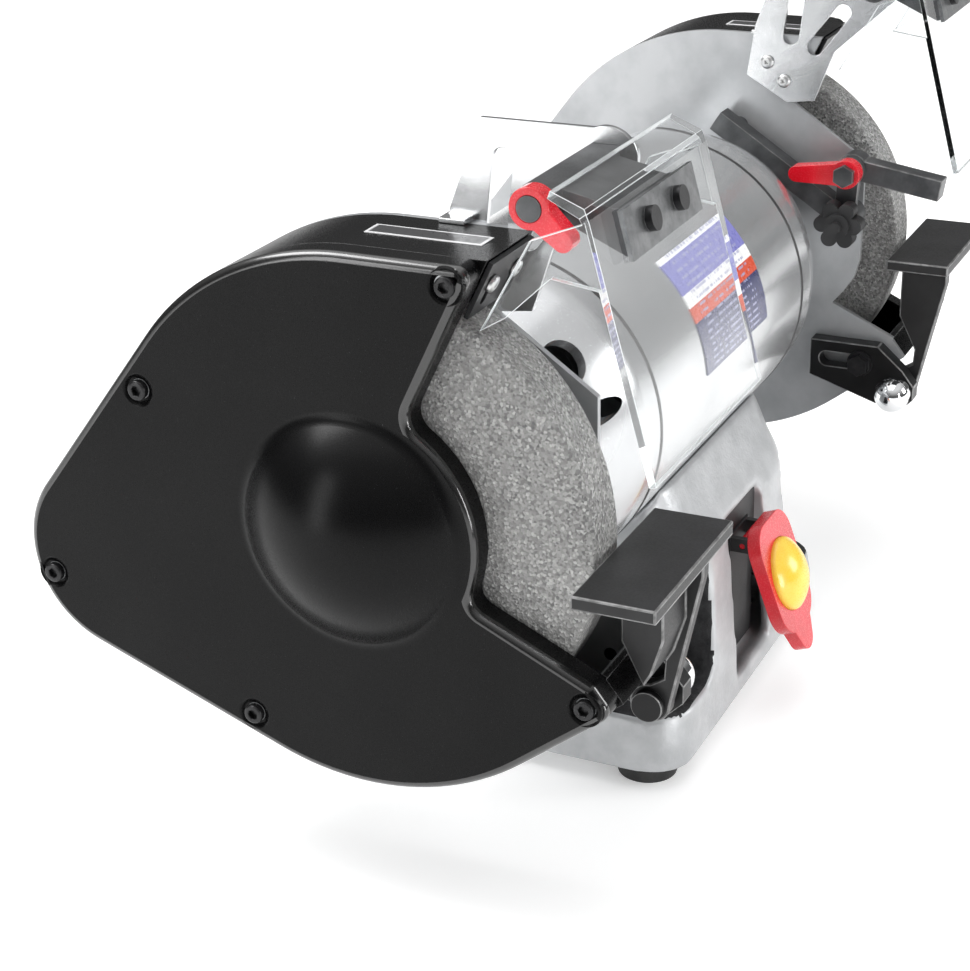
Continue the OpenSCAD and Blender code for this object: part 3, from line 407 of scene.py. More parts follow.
def cut_away(obj, cutters):
    """Takes the cutters out of obj, and removes them."""
    for tool in cutters:
        cut = obj.modifiers.new("cut", "BOOLEAN")
        cut.operation = "DIFFERENCE"
        cut.solver = "EXACT"
        cut.object = tool
    settle(obj)
    for tool in cutters:
        mesh = tool.data
        bpy.data.objects.remove(tool)
        bpy.data.meshes.remove(mesh)


vent_angles, vent_lean, vent_r, vent_at = (42, 132, 222, 318), math.radians(18), 0.011, 0.024
bell_screw_angles, bell_screw_at, screw_well_r = (20, 110, 200, 290), 0.071, 0.0052
for side, node in ((-1, "left_end_bell"), (1, "right_end_bell")):
    bell = turned(node + "_cast", bell_section(side), silver_paint, 160)
    cutters = []
    for a in vent_angles:
        a = math.radians(a)
        out = Vector((side * math.sin(vent_lean), -math.cos(a) * math.cos(vent_lean),
                      math.sin(a) * math.cos(vent_lean)))
        cutters.append(cutter_rod("vent", (side * (bell_seam + vent_at), 0, spindle_z), out, vent_r, 0.11))
    for a in bell_screw_angles:
        a = math.radians(a)
        y, z = -math.cos(a) * bell_screw_at, spindle_z + math.sin(a) * bell_screw_at
        cutters.append(cutter_rod("screw well", (side * (bell_seam + 0.012), y, z), (side, 0, 0),
                                  screw_well_r, 0.07, 32))
    cut_away(bell, cutters)
    round_edges(bell, 0.0011, 3)
    even_shading(bell)
    stands_for(bell, node)

# A thin gasket shows as a dark line where each bell meets the shell.
ring_section = [(0.1058, 0.0780), (0.1058, 0.0790), (0.1063, 0.0794), (0.1079, 0.0794),
                (0.1084, 0.0790), (0.1084, 0.0780)]
for side, name in ((-1, "left_seam_ring"), (1, "right_seam_ring")):
    ring = turned(name, [(side * x, r) for x, r in ring_section], black_plastic)
    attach(ring, body_of("motor_shell"))
softened("end_bell_screws", black_steel, 0.0004)
core_steel = paint("varnished core steel", (0.10, 0.105, 0.11), (0.17, 0.17, 0.175), 0.8, 0.42,
                   0.02, 0.0005, 0.0001)
copper = paint("varnished copper", (0.42, 0.17, 0.07), (0.60, 0.28, 0.12), 0.9, 0.32, 0.006, 0.0009,
               0.0004)
ground_steel = paint("ground steel", (0.50, 0.50, 0.51), (0.64, 0.64, 0.65), 1.0, 0.22, 0.03, 0.0004,
                     0.00002)
grey_case = paint("grey capacitor case", (0.52, 0.52, 0.50), (0.62, 0.62, 0.60), 0.6, 0.38, 0.03,
                  0.0006, 0.00005)
recoat("stator_core", core_steel)
recoat("rotor_core", core_steel)
recoat("stator_windings", copper)
recoat("run_capacitor", grey_case)
recoat("cooling_fan", black_plastic)
recoat("ball_bearings", ground_steel)
recoat("rotor_shaft", ground_steel)
recoat("motor_mount_screws", black_steel)


# ---- Rating plate ----
# A thin printed foil stuck round the front of the shell: lavender, white, a red stripe and
# navy. It carries no lettering, only plain pale lines where small print would be.

print_foil, tree, shader, place = new_finish("printed foil")
shader.inputs["Coat Weight"].default_value = 0.4
shader.inputs["Coat Roughness"].default_value = 0.1
plate_low, plate_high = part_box("rating_plate")
parts = tree.nodes.new("ShaderNodeSeparateXYZ")
link(tree, place, "Object", parts, "Vector")
tall = spread(tree, parts, "Z", (plate_low[2], plate_high[2]), (0, 1))
bands = tree.nodes.new("ShaderNodeValToRGB")
bands.color_ramp.interpolation = "CONSTANT"
stops = ((0.0, (0.018, 0.022, 0.10)), (0.47, (0.60, 0.075, 0.03)), (0.60, (0.84, 0.84, 0.84)),
         (0.71, (0.20, 0.20, 0.50)), (0.96, (0.84, 0.84, 0.86)))
while len(bands.color_ramp.elements) < len(stops):
    bands.color_ramp.elements.new(0.5)
for element, (at, colour) in zip(bands.color_ramp.elements, stops):
    element.position = at
    element.color = (*colour, 1)
link(tree, tall, 0, bands, "Fac")
line_count, print_reach = 17.0, 0.036
rows = maths(tree, "FRACT", (maths(tree, "MULTIPLY", (tall, 0), line_count), 0))
thin = spread(tree, rows, 0, (0.62, 0.68), (0, 1))
words = tree.nodes.new("ShaderNodeTexNoise")
words.inputs["Scale"].default_value = 1
words.inputs["Detail"].default_value = 3
stretch = tree.nodes.new("ShaderNodeMapping")
stretch.inputs["Scale"].default_value = (420, 2, 90)
link(tree, place, "Object", stretch, "Vector")
link(tree, stretch, "Vector", words, "Vector")
dashes = spread(tree, words, "Fac", (0.47, 0.50), (0, 0.8))
from_centre = maths(tree, "ABSOLUTE", (parts, "X"))
inside = spread(tree, from_centre, 0, (print_reach, print_reach + 0.0005), (1, 0))
lines = maths(tree, "MULTIPLY", (thin, 0), (dashes, 0))
lines_inside = maths(tree, "MULTIPLY", (lines, 0), (inside, 0))
inked = blend_colours(tree, (0, 0, 0), (0.34, 0.35, 0.52), lines_inside, 0)
link(tree, bands, "Color", inked, 6)
tree.links.new(inked.outputs[2], shader.inputs["Base Color"])
foil_grain = spread(tree, noise_at(tree, place, 0.004), "Fac", (0.3, 0.7), (0.22, 0.36))
tree.links.new(foil_grain.outputs[0], shader.inputs["Roughness"])
softened("rating_plate", print_foil, 0.0)


# ---- Grinding wheels ----
# Two vitrified aluminium oxide wheels of coarse grit, moulded and fired, with dressed faces.
# They are clamped on the nose of the shaft between paper blotters, flanges and a nut each.

grit, tree, shader, place = new_finish("grey aluminium oxide")
grains = tree.nodes.new("ShaderNodeTexVoronoi")
grains.inputs["Scale"].default_value = 900
grains.inputs["Randomness"].default_value = 1
link(tree, place, "Object", grains, "Vector")
shade = tree.nodes.new("ShaderNodeSeparateColor")
link(tree, grains, "Color", shade, "Color")
tones = tree.nodes.new("ShaderNodeValToRGB")
tones.color_ramp.elements[0].position = 0.0
tones.color_ramp.elements[0].color = (0.13, 0.13, 0.131, 1)
tones.color_ramp.elements[1].position = 1.0
tones.color_ramp.elements[1].color = (0.52, 0.52, 0.51, 1)
for at, grey in ((0.22, 0.20), (0.5, 0.27), (0.85, 0.36)):
    tones.color_ramp.elements.new(at).color = (grey, grey, grey * 0.98, 1)
link(tree, shade, "Red", tones, "Fac")
dust = spread(tree, noise_at(tree, place, 0.03, 5), "Fac", (0.35, 0.7), (0, 0.35))
dusty = blend_colours(tree, (0, 0, 0), (0.30, 0.30, 0.29), dust)
tree.links.new(tones.outputs["Color"], dusty.inputs[6])
tree.links.new(dusty.outputs[2], shader.inputs["Base Color"])
glint = spread(tree, shade, "Green", (0, 1), (0.55, 0.95))
tree.links.new(glint.outputs[0], shader.inputs["Roughness"])
relief = tree.nodes.new("ShaderNodeBump")
relief.inputs["Strength"].default_value = 0.9
relief.inputs["Distance"].default_value = 0.0007
link(tree, grains, "Distance", relief, "Height")
link(tree, relief, "Normal", shader, "Normal")

bush_metal = paint("lead bush", (0.22, 0.22, 0.23), (0.30, 0.30, 0.31), 0.9, 0.5, 0.01, 0.0006, 0.0001)
blotter_paper = paint("blotter paper", (0.34, 0.25, 0.16), (0.46, 0.36, 0.25), 0.0, 0.85, 0.02,
                      0.0008, 0.0001)
bore, round_r = 0.00796, 0.0016
for side, node in ((-1, "left_wheel"), (1, "right_wheel")):
    low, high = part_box(node)
    near, far = sorted((abs(low[0]), abs(high[0])))
    rim = (high[2] - low[2]) / 2
    section = [(near, bore), (near, rim - round_r)]
    section += [(near + round_r * (1 - math.cos(a)), rim - round_r + round_r * math.sin(a))
                for a in (math.pi / 8 * k for k in range(1, 5))]
    section += [(far - round_r * (1 - math.sin(a)), rim - round_r + round_r * math.cos(a))
                for a in (math.pi / 8 * k for k in range(0, 5))]
    section += [(far, bore)]
    wheel = turned(node + "_fired", [(side * x, r) for x, r in section], grit, 192)
    wheel.data.materials.append(bush_metal)
    for face in wheel.data.polygons:
        y, z = face.center[1], face.center[2] - spindle_z
        if math.hypot(y, z) < bore + 0.0002:
            face.material_index = 1
    stands_for(wheel, node)
softened("wheel_flanges", zinc, 0.0006)
softened("wheel_blotters", blotter_paper, 0.0)
softened("left_arbor_nut", zinc, 0.0006)
softened("right_arbor_nut", zinc, 0.0006)


# ---- Wheel guards ----
# An inner plate and a welded band of steel round each wheel. The band is powder coated satin
# black and carries a thin blank strip on top; the inner plate is painted grey.

powder_coat = paint("satin black powder coat", (0.0022, 0.0022, 0.0024), (0.0038, 0.0038, 0.004), 0.0,
                    0.27, 0.05, 0.00045, 0.00003, shine=0.13)
# The band's rounded edges take a lighter, glossier coat: a painted highlight.
band_edge_highlight = paint("powder coat thin at the edges", (0.006, 0.006, 0.006), (0.035, 0.035, 0.036), 0.1,
                    0.25, 0.008, 0.0005, 0.00003, shine=0.4)
grey_paint = paint("grey machine paint", (0.36, 0.37, 0.38), (0.46, 0.47, 0.48), 0.55, 0.34, 0.03,
                   0.0007, 0.00006)
for side in ("left", "right"):
    softened(side + "_guard_plate", grey_paint, 0.0006)
    softened(side + "_guard_band", powder_coat, 0.0008, 3, rubbed=band_edge_highlight)
    softened(side + "_spark_deflector", black_steel, 0.0003)
softened("guard_screws", black_steel, 0.0004)

strip_print, tree, shader, place = new_finish("blank marking strip")
shader.inputs["Coat Weight"].default_value = 0.3
flat = tree.nodes.new("ShaderNodeUVMap")
flat.uv_map = "strip"
axes = tree.nodes.new("ShaderNodeSeparateXYZ")
link(tree, flat, "UV", axes, "Vector")
frame_lines = []
for axis, edge_at in (("X", 0.475), ("Y", 0.40)):
    off_centre = maths(tree, "ABSOLUTE", (maths(tree, "SUBTRACT", (axes, axis), 0.5), 0))
    frame_lines.append(spread(tree, off_centre, 0, (edge_at - 0.01, edge_at + 0.01), (0, 1)))
either = maths(tree, "MAXIMUM", (frame_lines[0], 0), (frame_lines[1], 0))
edging = blend_colours(tree, (0.035, 0.035, 0.037), (0.70, 0.70, 0.71), either, "Value")
tree.links.new(edging.outputs[2], shader.inputs["Base Color"])
film = spread(tree, noise_at(tree, place, 0.003), "Fac", (0.3, 0.7), (0.25, 0.42))
tree.links.new(film.outputs[0], shader.inputs["Roughness"])

# The strip lies on the flat top of the guard, a hair above the band, and follows its round behind.
guard_top, guard_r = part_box("left_guard_band")[1][2], 0.119
strip_front, strip_long, strip_near, strip_wide, strip_thick = 0.004, 0.052, 0.2135, 0.0115, 0.0003
strip_lift, strip_ease = 0.00002, 0.0002
strip_far = strip_near + strip_wide
strip_section = ((strip_near, strip_lift), (strip_near + strip_ease, strip_thick),
                 (strip_far - strip_ease, strip_thick), (strip_far, strip_lift))
for side in (-1, 1):
    bm = bmesh.new()
    rows = []
    for k in range(13):
        y = strip_front - strip_long * k / 12
        z = guard_top - guard_r + math.sqrt(guard_r ** 2 - max(0.0, y) ** 2)
        rows.append([bm.verts.new((side * u, y, z + h)) for u, h in strip_section])
    uv = bm.loops.layers.uv.new("strip")
    for k in range(12):
        for i in range(3):
            face = bm.faces.new((rows[k][i], rows[k + 1][i], rows[k + 1][i + 1], rows[k][i + 1]))
            for loop in face.loops:
                x, y, _ = loop.vert.co
                loop[uv].uv = ((strip_front - y) / strip_long, (abs(x) - strip_near) / strip_wide)
    for end in (rows[0], rows[-1]):
        bm.faces.new(end)
    bmesh.ops.recalc_face_normals(bm, faces=bm.faces)
    if max(bm.faces, key=lambda f: f.calc_center_median().z).normal.z < 0:
        bmesh.ops.reverse_faces(bm, faces=bm.faces)
    strip = piece_of(bm, ("left" if side < 0 else "right") + "_marking_strip", strip_print, 50)
    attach(strip, body_of("left_guard_band"))


# ---- Wheel covers ----
# Each cover is drawn from one steel sheet: a flat face, a flange turned in all round the
# mouth and rim, a dome over the spindle nut and a round dimple at each of the five screws.

cover_in, cover_out_at = sorted(abs(v[0]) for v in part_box("left_cover"))
chute_r, hub_r, dome_r, dome_h, dome_fillet, dome_foot_r = 0.047, 0.056, 0.050, 0.025, 0.004, 0.0478
face_at = cover_out_at - dome_h
sheet_t, face_round = 0.0016, 0.0036


def crossing(one, two):
    """Where two lines meet, each given as its normal and its distance from the spindle."""
    (a, b), d = one
    (c, e), f = two
    det = a * e - b * c
    return ((d * e - b * f) / det, (a * f - d * c) / det)


def ray(angle):
    a = math.radians(angle)
    return math.cos(a), math.sin(a)


def cover_outline(inset):
    """The guard's outline with rounded corners, moved in by inset, as (y, z) points."""
    top = ((0.0, 1.0), guard_r - inset)
    upper = (ray(37.75), guard_r - inset)
    lower = (ray(-69.71), guard_r - inset)
    lug = (ray(-128), guard_r - inset)
    lug_end = (ray(142), 0.053 - inset)
    mouth_floor = (ray(115), -inset)
    hub_front = (ray(-165), hub_r - inset)
    hub_top = (ray(126), hub_r - inset)
    mouth_roof = (ray(-154), -inset)
    corners = [(mouth_roof, top, 0.005, 1), (top, upper, guard_r, 1), (upper, lower, chute_r, 1),
               (lower, lug, guard_r, 1), (lug, lug_end, 0.006, 1), (lug_end, mouth_floor, 0.005, 1),
               (mouth_floor, hub_front, 0.008, -1), (hub_front, hub_top, hub_r, 1),
               (hub_top, mouth_roof, 0.010, -1)]
    spots = [crossing(a, b) for a, b, r, s in corners]
    points = []
    for k, (a, b, r, bulge) in enumerate(corners):
        here = Vector(spots[k])
        back = (Vector(spots[k - 1]) - here).normalized()
        on = (Vector(spots[(k + 1) % len(spots)]) - here).normalized()
        half = back.angle(on) / 2
        r = r - inset * bulge
        centre = here + (back + on).normalized() * r / math.sin(half)
        first = here + back * r / math.tan(half) - centre
        last = here + on * r / math.tan(half) - centre
        turn = first.angle_signed(last)
        steps = max(6, round(abs(math.degrees(turn)) / 2.5))
        for i in range(steps + 1):
            points.append(centre + Matrix.Rotation(-turn * i / steps, 2) @ first)
    return points


def ring_at(y, z, r, n):
    return [Vector((y + r * math.cos(2 * math.pi * k / n), z + r * math.sin(2 * math.pi * k / n)))
            for k in range(n)]


def within(p, poly):
    """Whether a point lies inside a closed outline, by counting the sides it looks past."""
    hit = False
    for i in range(len(poly)):
        a, b = poly[i - 1], poly[i]
        if (a[1] > p[1]) != (b[1] > p[1]):
            if p[0] < (b[0] - a[0]) * (p[1] - a[1]) / (b[1] - a[1]) + a[0]:
                hit = not hit
    return hit


def stack(bm, side, centre, rows, n):
    """Rings of (radius, rise) about a centre on the cover's face, closed at the middle."""
    last = None
    for r, rise in rows:
        ring = [bm.verts.new((side * (face_at + rise), p[0], p[1] + spindle_z))
                for p in ring_at(centre[0], centre[1], r, n)]
        if last:
            for i in range(n):
                bm.faces.new((last[i], last[(i + 1) % n], ring[(i + 1) % n], ring[i]))
        last = ring
    tip = bm.verts.new((side * (face_at + rows[-1][1]), centre[0], centre[1] + spindle_z))
    for i in range(n):
        bm.faces.new((last[i], last[(i + 1) % n], tip))


# The rounded edge of the face takes a lighter, glossier coat: a painted highlight along it.
cover_edge_highlight = paint("coat over the drawn edge", (0.004, 0.004, 0.004), (0.010, 0.010, 0.010), 0.0, 0.2,
                   0.03, 0.0005, 0.00002, coat=0.5, shine=0.6)
dimple_r, dimple_depth = 0.0078, 0.0019
screw_spots = [(-0.0461, 0.1110), (0.0989, 0.0482), (0.1527, -0.0465), (0.0530, -0.0964),
               (-0.1031, -0.0597)]
dimple_rows = [(dimple_r, 0), (dimple_r - 0.0006, -0.00012), (dimple_r - 0.0012, -0.0006),
               (dimple_r - 0.0018, -0.00145), (dimple_r - 0.0025, -0.0018),
               (dimple_r - 0.0036, -dimple_depth), (0.002, -dimple_depth)]

# The dome is part of a ball, and eases into the flat face from dome_fillet outside its rim.
ball = (dome_r ** 2 + dome_h ** 2) / (2 * dome_h)
foot_rise = math.sqrt(ball ** 2 - dome_foot_r ** 2) - (ball - dome_h)
dome_rows = []
for k in range(9):
    t = k / 8
    r = (1 - t) ** 2 * (dome_r + dome_fillet) + 2 * t * (1 - t) * (dome_r + 0.0003) + t * t * dome_foot_r
    dome_rows.append((r, t * t * foot_rise))
for k in range(1, 30):
    r = dome_foot_r * math.cos(math.pi / 2 * k / 30.5)
    dome_rows.append((r, min(dome_h, math.sqrt(ball ** 2 - r * r) - (ball - dome_h))))

for side, node in ((-1, "left_cover"), (1, "right_cover")):
    bm = bmesh.new()
    loops = [(cover_in, 0.0), (face_at - face_round, 0.0)]
    loops += [(face_at - face_round * (1 - math.sin(a)), face_round * (1 - math.cos(a)))
              for a in (math.pi / 12 * k for k in range(1, 7))]
    rings = [[bm.verts.new((side * u, p[0], p[1] + spindle_z)) for p in cover_outline(g)]
             for u, g in loops]
    n = len(rings[0])
    for one, two in zip(rings, rings[1:]):
        for i in range(n):
            bm.faces.new((one[i], one[(i + 1) % n], two[(i + 1) % n], two[i]))
    dome_ring = ring_at(0, 0, dome_r + dome_fillet, 96)
    dimple_rings = [ring_at(y, z, dimple_r, 32) for y, z in screw_spots]
    flat_points, borders = [], []
    for loop in [cover_outline(face_round), dome_ring] + dimple_rings:
        at = len(flat_points)
        flat_points += loop
        borders.append([at + i for i in range(len(loop))])
    edges = [(b[i], b[(i + 1) % len(b)]) for b in borders for i in range(len(b))]
    spots, _, tris, *_ = delaunay_2d_cdt(flat_points, edges, [], 0, 1e-9)
    rim_poly = cover_outline(face_round)
    verts = [bm.verts.new((side * face_at, p[0], p[1] + spindle_z)) for p in spots]
    for tri in tris:
        c = sum((Vector(spots[i]) for i in tri), Vector((0, 0))) / len(tri)
        in_dome = c.length < dome_r + dome_fillet
        in_dimple = any((c - Vector(s)).length < dimple_r * 0.999 for s in screw_spots)
        if within(c, rim_poly) and not in_dome and not in_dimple:
            bm.faces.new([verts[i] for i in tri])
    stack(bm, side, (0, 0), dome_rows, 96)
    for spot in screw_spots:
        stack(bm, side, spot, dimple_rows, 32)
    bmesh.ops.remove_doubles(bm, verts=bm.verts, dist=2e-6)
    bmesh.ops.recalc_face_normals(bm, faces=bm.faces)
    near_tip = face_at + dome_h * 0.98
    top_face = min(bm.faces, key=lambda f: abs(f.calc_center_median().x * side - near_tip))
    if top_face.normal.x * side < 0:
        bmesh.ops.reverse_faces(bm, faces=bm.faces)
    cover = piece_of(bm, node + "_pressed", powder_coat, 50)
    cover.data.materials.append(cover_edge_highlight)
    # Faces on the face's rounded edge, outside the dimples, get the painted highlight.
    for face in cover.data.polygons:
        u = abs(face.center[0])
        on_edge = face_at - face_round < u < face_at - 0.00005 and abs(face.normal.x) > 0.08
        in_dimple = any(math.hypot(face.center[1] - y, face.center[2] - spindle_z - z) < dimple_r + 0.0004
                        for y, z in screw_spots)
        if on_edge and not in_dimple:
            face.material_index = 1
    wall = cover.modifiers.new("sheet", "SOLIDIFY")
    wall.thickness = sheet_t
    wall.offset = -1
    even_shading(cover)
    stands_for(cover, node)


# ---- Cover screws ----
# Five black socket-head cap screws hold each cover, sunk in its dimples. The heads are cold
# headed with a rolled rim and a hexagon socket.

def ring_about_x(bm, x, radius_at, sides):
    """A ring of points about the X axis, with a radius for each angle."""
    angles = [2 * math.pi * k / sides for k in range(sides)]
    return [bm.verts.new((x, radius_at(a) * math.cos(a), radius_at(a) * math.sin(a))) for a in angles]


def screw_of(bm, name, rings, smooth):
    """A closed screw from rings that run from its tip over its head and down its recess."""
    sides = len(rings[0])
    for one, two in zip(rings, rings[1:]):
        for i in range(sides):
            bm.faces.new((one[i], one[(i + 1) % sides], two[(i + 1) % sides], two[i]))
    bm.faces.new(rings[0][::-1])
    bm.faces.new(rings[-1])
    bmesh.ops.recalc_face_normals(bm, faces=bm.faces)
    shade_smooth(bm, smooth)
    return object_of(bm, name)


def socket_screw(head_r, head_h, shank_r, shank_l, socket_af, sides=28):
    """A cap screw that points down -X with its head from 0 up to head_h."""
    bm = bmesh.new()
    lip = head_r * 0.16
    rows = [(-shank_l, shank_r * 0.75), (-shank_l + shank_r * 0.3, shank_r), (0, shank_r),
            (0, head_r - lip / 2), (lip / 2, head_r), (head_h - lip, head_r),
            (head_h - lip * 0.3, head_r - lip * 0.35), (head_h, head_r - lip)]
    rings = [ring_about_x(bm, x, lambda a: r, sides) for x, r in rows]
    for x, grow in ((head_h, 1.12), (head_h - lip * 0.5, 1.0), (head_h * 0.35, 1.0)):
        rings.append(ring_about_x(bm, x, lambda a: socket_af / 2 * grow
                                  / math.cos(a % (math.pi / 3) - math.pi / 6), sides))
    return screw_of(bm, "screw pattern", rings, 40)


def set_of_screws(name, pattern, places, mat):
    """The pattern screw at every (point, way it faces, turn), by Geometry Nodes."""
    mesh = bpy.data.meshes.new(name)
    mesh.from_pydata([p for p, _, _ in places], [], [])
    facing = mesh.attributes.new("facing", "FLOAT_VECTOR", "POINT")
    for item, (_, way, _) in zip(facing.data, places):
        item.vector = way
    turned_by = mesh.attributes.new("turned", "FLOAT", "POINT")
    for item, (_, _, turn) in zip(turned_by.data, places):
        item.value = turn
    obj = put_in_scene(name, mesh)
    tree = bpy.data.node_groups.new("screws in place", "GeometryNodeTree")
    face = tree.interface
    face.new_socket("Places", in_out="INPUT", socket_type="NodeSocketGeometry")
    screw_in = face.new_socket("Screw", in_out="INPUT", socket_type="NodeSocketObject")
    size_in = face.new_socket("Size", in_out="INPUT", socket_type="NodeSocketFloat")
    coat_in = face.new_socket("Finish", in_out="INPUT", socket_type="NodeSocketMaterial")
    face.new_socket("Screws", in_out="OUTPUT", socket_type="NodeSocketGeometry")
    start = tree.nodes.new("NodeGroupInput")
    end = tree.nodes.new("NodeGroupOutput")
    way = tree.nodes.new("GeometryNodeInputNamedAttribute")
    way.data_type = "FLOAT_VECTOR"
    way.inputs["Name"].default_value = "facing"
    spin = tree.nodes.new("GeometryNodeInputNamedAttribute")
    spin.data_type = "FLOAT"
    spin.inputs["Name"].default_value = "turned"
    aim = tree.nodes.new("FunctionNodeAlignRotationToVector")
    aim.axis = "X"
    roll = tree.nodes.new("FunctionNodeRotateRotation")
    roll.rotation_space = "LOCAL"
    own = tree.nodes.new("FunctionNodeAxisAngleToRotation")
    own.inputs["Axis"].default_value = (1, 0, 0)
    shape = tree.nodes.new("GeometryNodeObjectInfo")
    put = tree.nodes.new("GeometryNodeInstanceOnPoints")
    real = tree.nodes.new("GeometryNodeRealizeInstances")
    coat = tree.nodes.new("GeometryNodeSetMaterial")
    tree.links.new(start.outputs["Places"], put.inputs["Points"])
    tree.links.new(start.outputs["Screw"], shape.inputs["Object"])
    tree.links.new(shape.outputs["Geometry"], put.inputs["Instance"])
    tree.links.new(way.outputs["Attribute"], aim.inputs["Vector"])
    tree.links.new(spin.outputs["Attribute"], own.inputs["Angle"])
    tree.links.new(aim.outputs["Rotation"], roll.inputs["Rotation"])
    tree.links.new(own.outputs["Rotation"], roll.inputs["Rotate By"])
    tree.links.new(roll.outputs["Rotation"], put.inputs["Rotation"])
    tree.links.new(start.outputs["Size"], put.inputs["Scale"])
    tree.links.new(put.outputs["Instances"], real.inputs["Geometry"])
    tree.links.new(real.outputs["Geometry"], coat.inputs["Geometry"])
    tree.links.new(start.outputs["Finish"], coat.inputs["Material"])
    tree.links.new(coat.outputs["Geometry"], end.inputs["Screws"])
    screws = obj.modifiers.new("screws", "NODES")
    screws.node_group = tree
    screws[screw_in.identifier] = pattern
    screws[size_in.identifier] = 1.0
    screws[coat_in.identifier] = mat
    settle(obj)
    old = pattern.data
    bpy.data.objects.remove(pattern)
    bpy.data.meshes.remove(old)
    return obj


screw_black = paint("black socket screws", (0.010, 0.010, 0.011), (0.022, 0.022, 0.023), 0.5, 0.28,
                    0.004, 0.0004, 0.00004)
places = []
for side in (-1, 1):
    for k, (y, z) in enumerate(screw_spots):
        at = (side * (face_at - dimple_depth), y, z + spindle_z)
        places.append((at, (side, 0, 0), 0.7 * k + 0.3))
cap_screws = set_of_screws("cover_cap_screws", socket_screw(0.0044, 0.0034, 0.0022, 0.010, 0.004),
                           places, screw_black)
stands_for(cap_screws, "cover_screws")


# ---- Deflector and post screws ----
# Small pan-head screws with a cross recess hold each spark deflector to the lip of the mouth
# and each shield post to the inner plate.

def pan_screw(head_r, head_h, shank_r, shank_l, sides=24):
    """A pan-head screw along X, its head from 0 up to head_h, with a cross recess."""
    bm = bmesh.new()
    rows = [(-shank_l, shank_r * 0.8), (-shank_l + 0.0005, shank_r), (0, shank_r), (0, head_r),
            (head_h * 0.45, head_r), (head_h * 0.72, head_r * 0.93), (head_h * 0.9, head_r * 0.78),
            (head_h, head_r * 0.55), (head_h, head_r * 0.42)]
    rings = [ring_about_x(bm, x, lambda a: r, sides) for x, r in rows]
    for x, grow in ((head_h * 0.98, 1.0), (head_h * 0.45, 0.7)):
        rings.append(ring_about_x(bm, x, lambda a: head_r * grow
                                  * (0.14 + 0.26 * abs(math.cos(2 * a)) ** 6), sides))
    return screw_of(bm, "pan screw pattern", rings, 45)


# The lip of the mouth leans lip_turn from the vertical; a deflector's two screws sit beside
# guard_middle on it, lip_at from the spindle, and a post's two screws on the plate's inner face.
lip_turn, lip_at, lip_rise = math.radians(64), 0.120, 0.0026
into_mouth = Vector((0, -math.sin(lip_turn), -math.cos(lip_turn)))
along_lip = Vector((0, -math.cos(lip_turn), math.sin(lip_turn)))
guard_middle, lip_screw_step = 0.22045, 0.011
post_inner, post_screws = 0.193, ((-0.028, 0.104), (-0.038, 0.094))
places = []
for side in (-1, 1):
    for step in (-lip_screw_step, lip_screw_step):
        foot = Vector((side * (guard_middle + step), 0, spindle_z))
        at = foot + along_lip * lip_at + into_mouth * lip_rise
        places.append((tuple(at), tuple(into_mouth), 0.4 + step * 30))
    for y, z in post_screws:
        places.append(((side * post_inner, y, spindle_z + z), (-side, 0, 0), 0.9))
pan_heads = set_of_screws("pan_head_set", pan_screw(0.0038, 0.0020, 0.0019, 0.0048), places, zinc)
stands_for(pan_heads, "pan_head_screws")


# ---- Eye shields ----
# A slotted bright post carries a square hinge rod; the clear sheet is bent acrylic with a roof
# and two wings, held to the rod's tab by a plate and two black bolts. A red lever locks it.

acrylic, tree, shader, place = new_finish("clear acrylic sheet")
shader.inputs["Transmission Weight"].default_value = 1.0
shader.inputs["IOR"].default_value = 1.06
shader.inputs["Coat Weight"].default_value = 0.7
shader.inputs["Coat Roughness"].default_value = 0.03
tint = spread(tree, noise_at(tree, place, 0.04), "Fac", (0.35, 0.65), (0, 1))
clear = blend_colours(tree, (0.96, 0.975, 0.98), (0.99, 0.995, 0.995), tint)
tree.links.new(clear.outputs[2], shader.inputs["Base Color"])
scuffs = spread(tree, noise_at(tree, place, 0.0018, 6), "Fac", (0.55, 0.8), (0.015, 0.11))
tree.links.new(scuffs.outputs[0], shader.inputs["Roughness"])
sheet_edge = paint("polished sheet edge", (0.72, 0.76, 0.77), (0.86, 0.89, 0.90), 0.0, 0.2, 0.02, 0.0006,
                   0.00003, coat=0.4)
bright_steel = paint("brushed bright steel", (0.60, 0.61, 0.62), (0.76, 0.77, 0.78), 1.0, 0.22, 0.02,
                     0.0004, 0.00003)
rubbed_paint = paint("paint rubbed to the metal", (0.10, 0.10, 0.10), (0.26, 0.26, 0.26), 0.5, 0.35,
                     0.006, 0.0006, 0.00005)
grey_steel = paint("grey coated steel", (0.055, 0.057, 0.060), (0.10, 0.103, 0.106), 0.6, 0.36, 0.012,
                   0.0006, 0.00006)
clamp_steel = paint("satin clamp steel", (0.16, 0.165, 0.17), (0.26, 0.265, 0.27), 0.9, 0.3, 0.006,
                    0.0005, 0.00004)

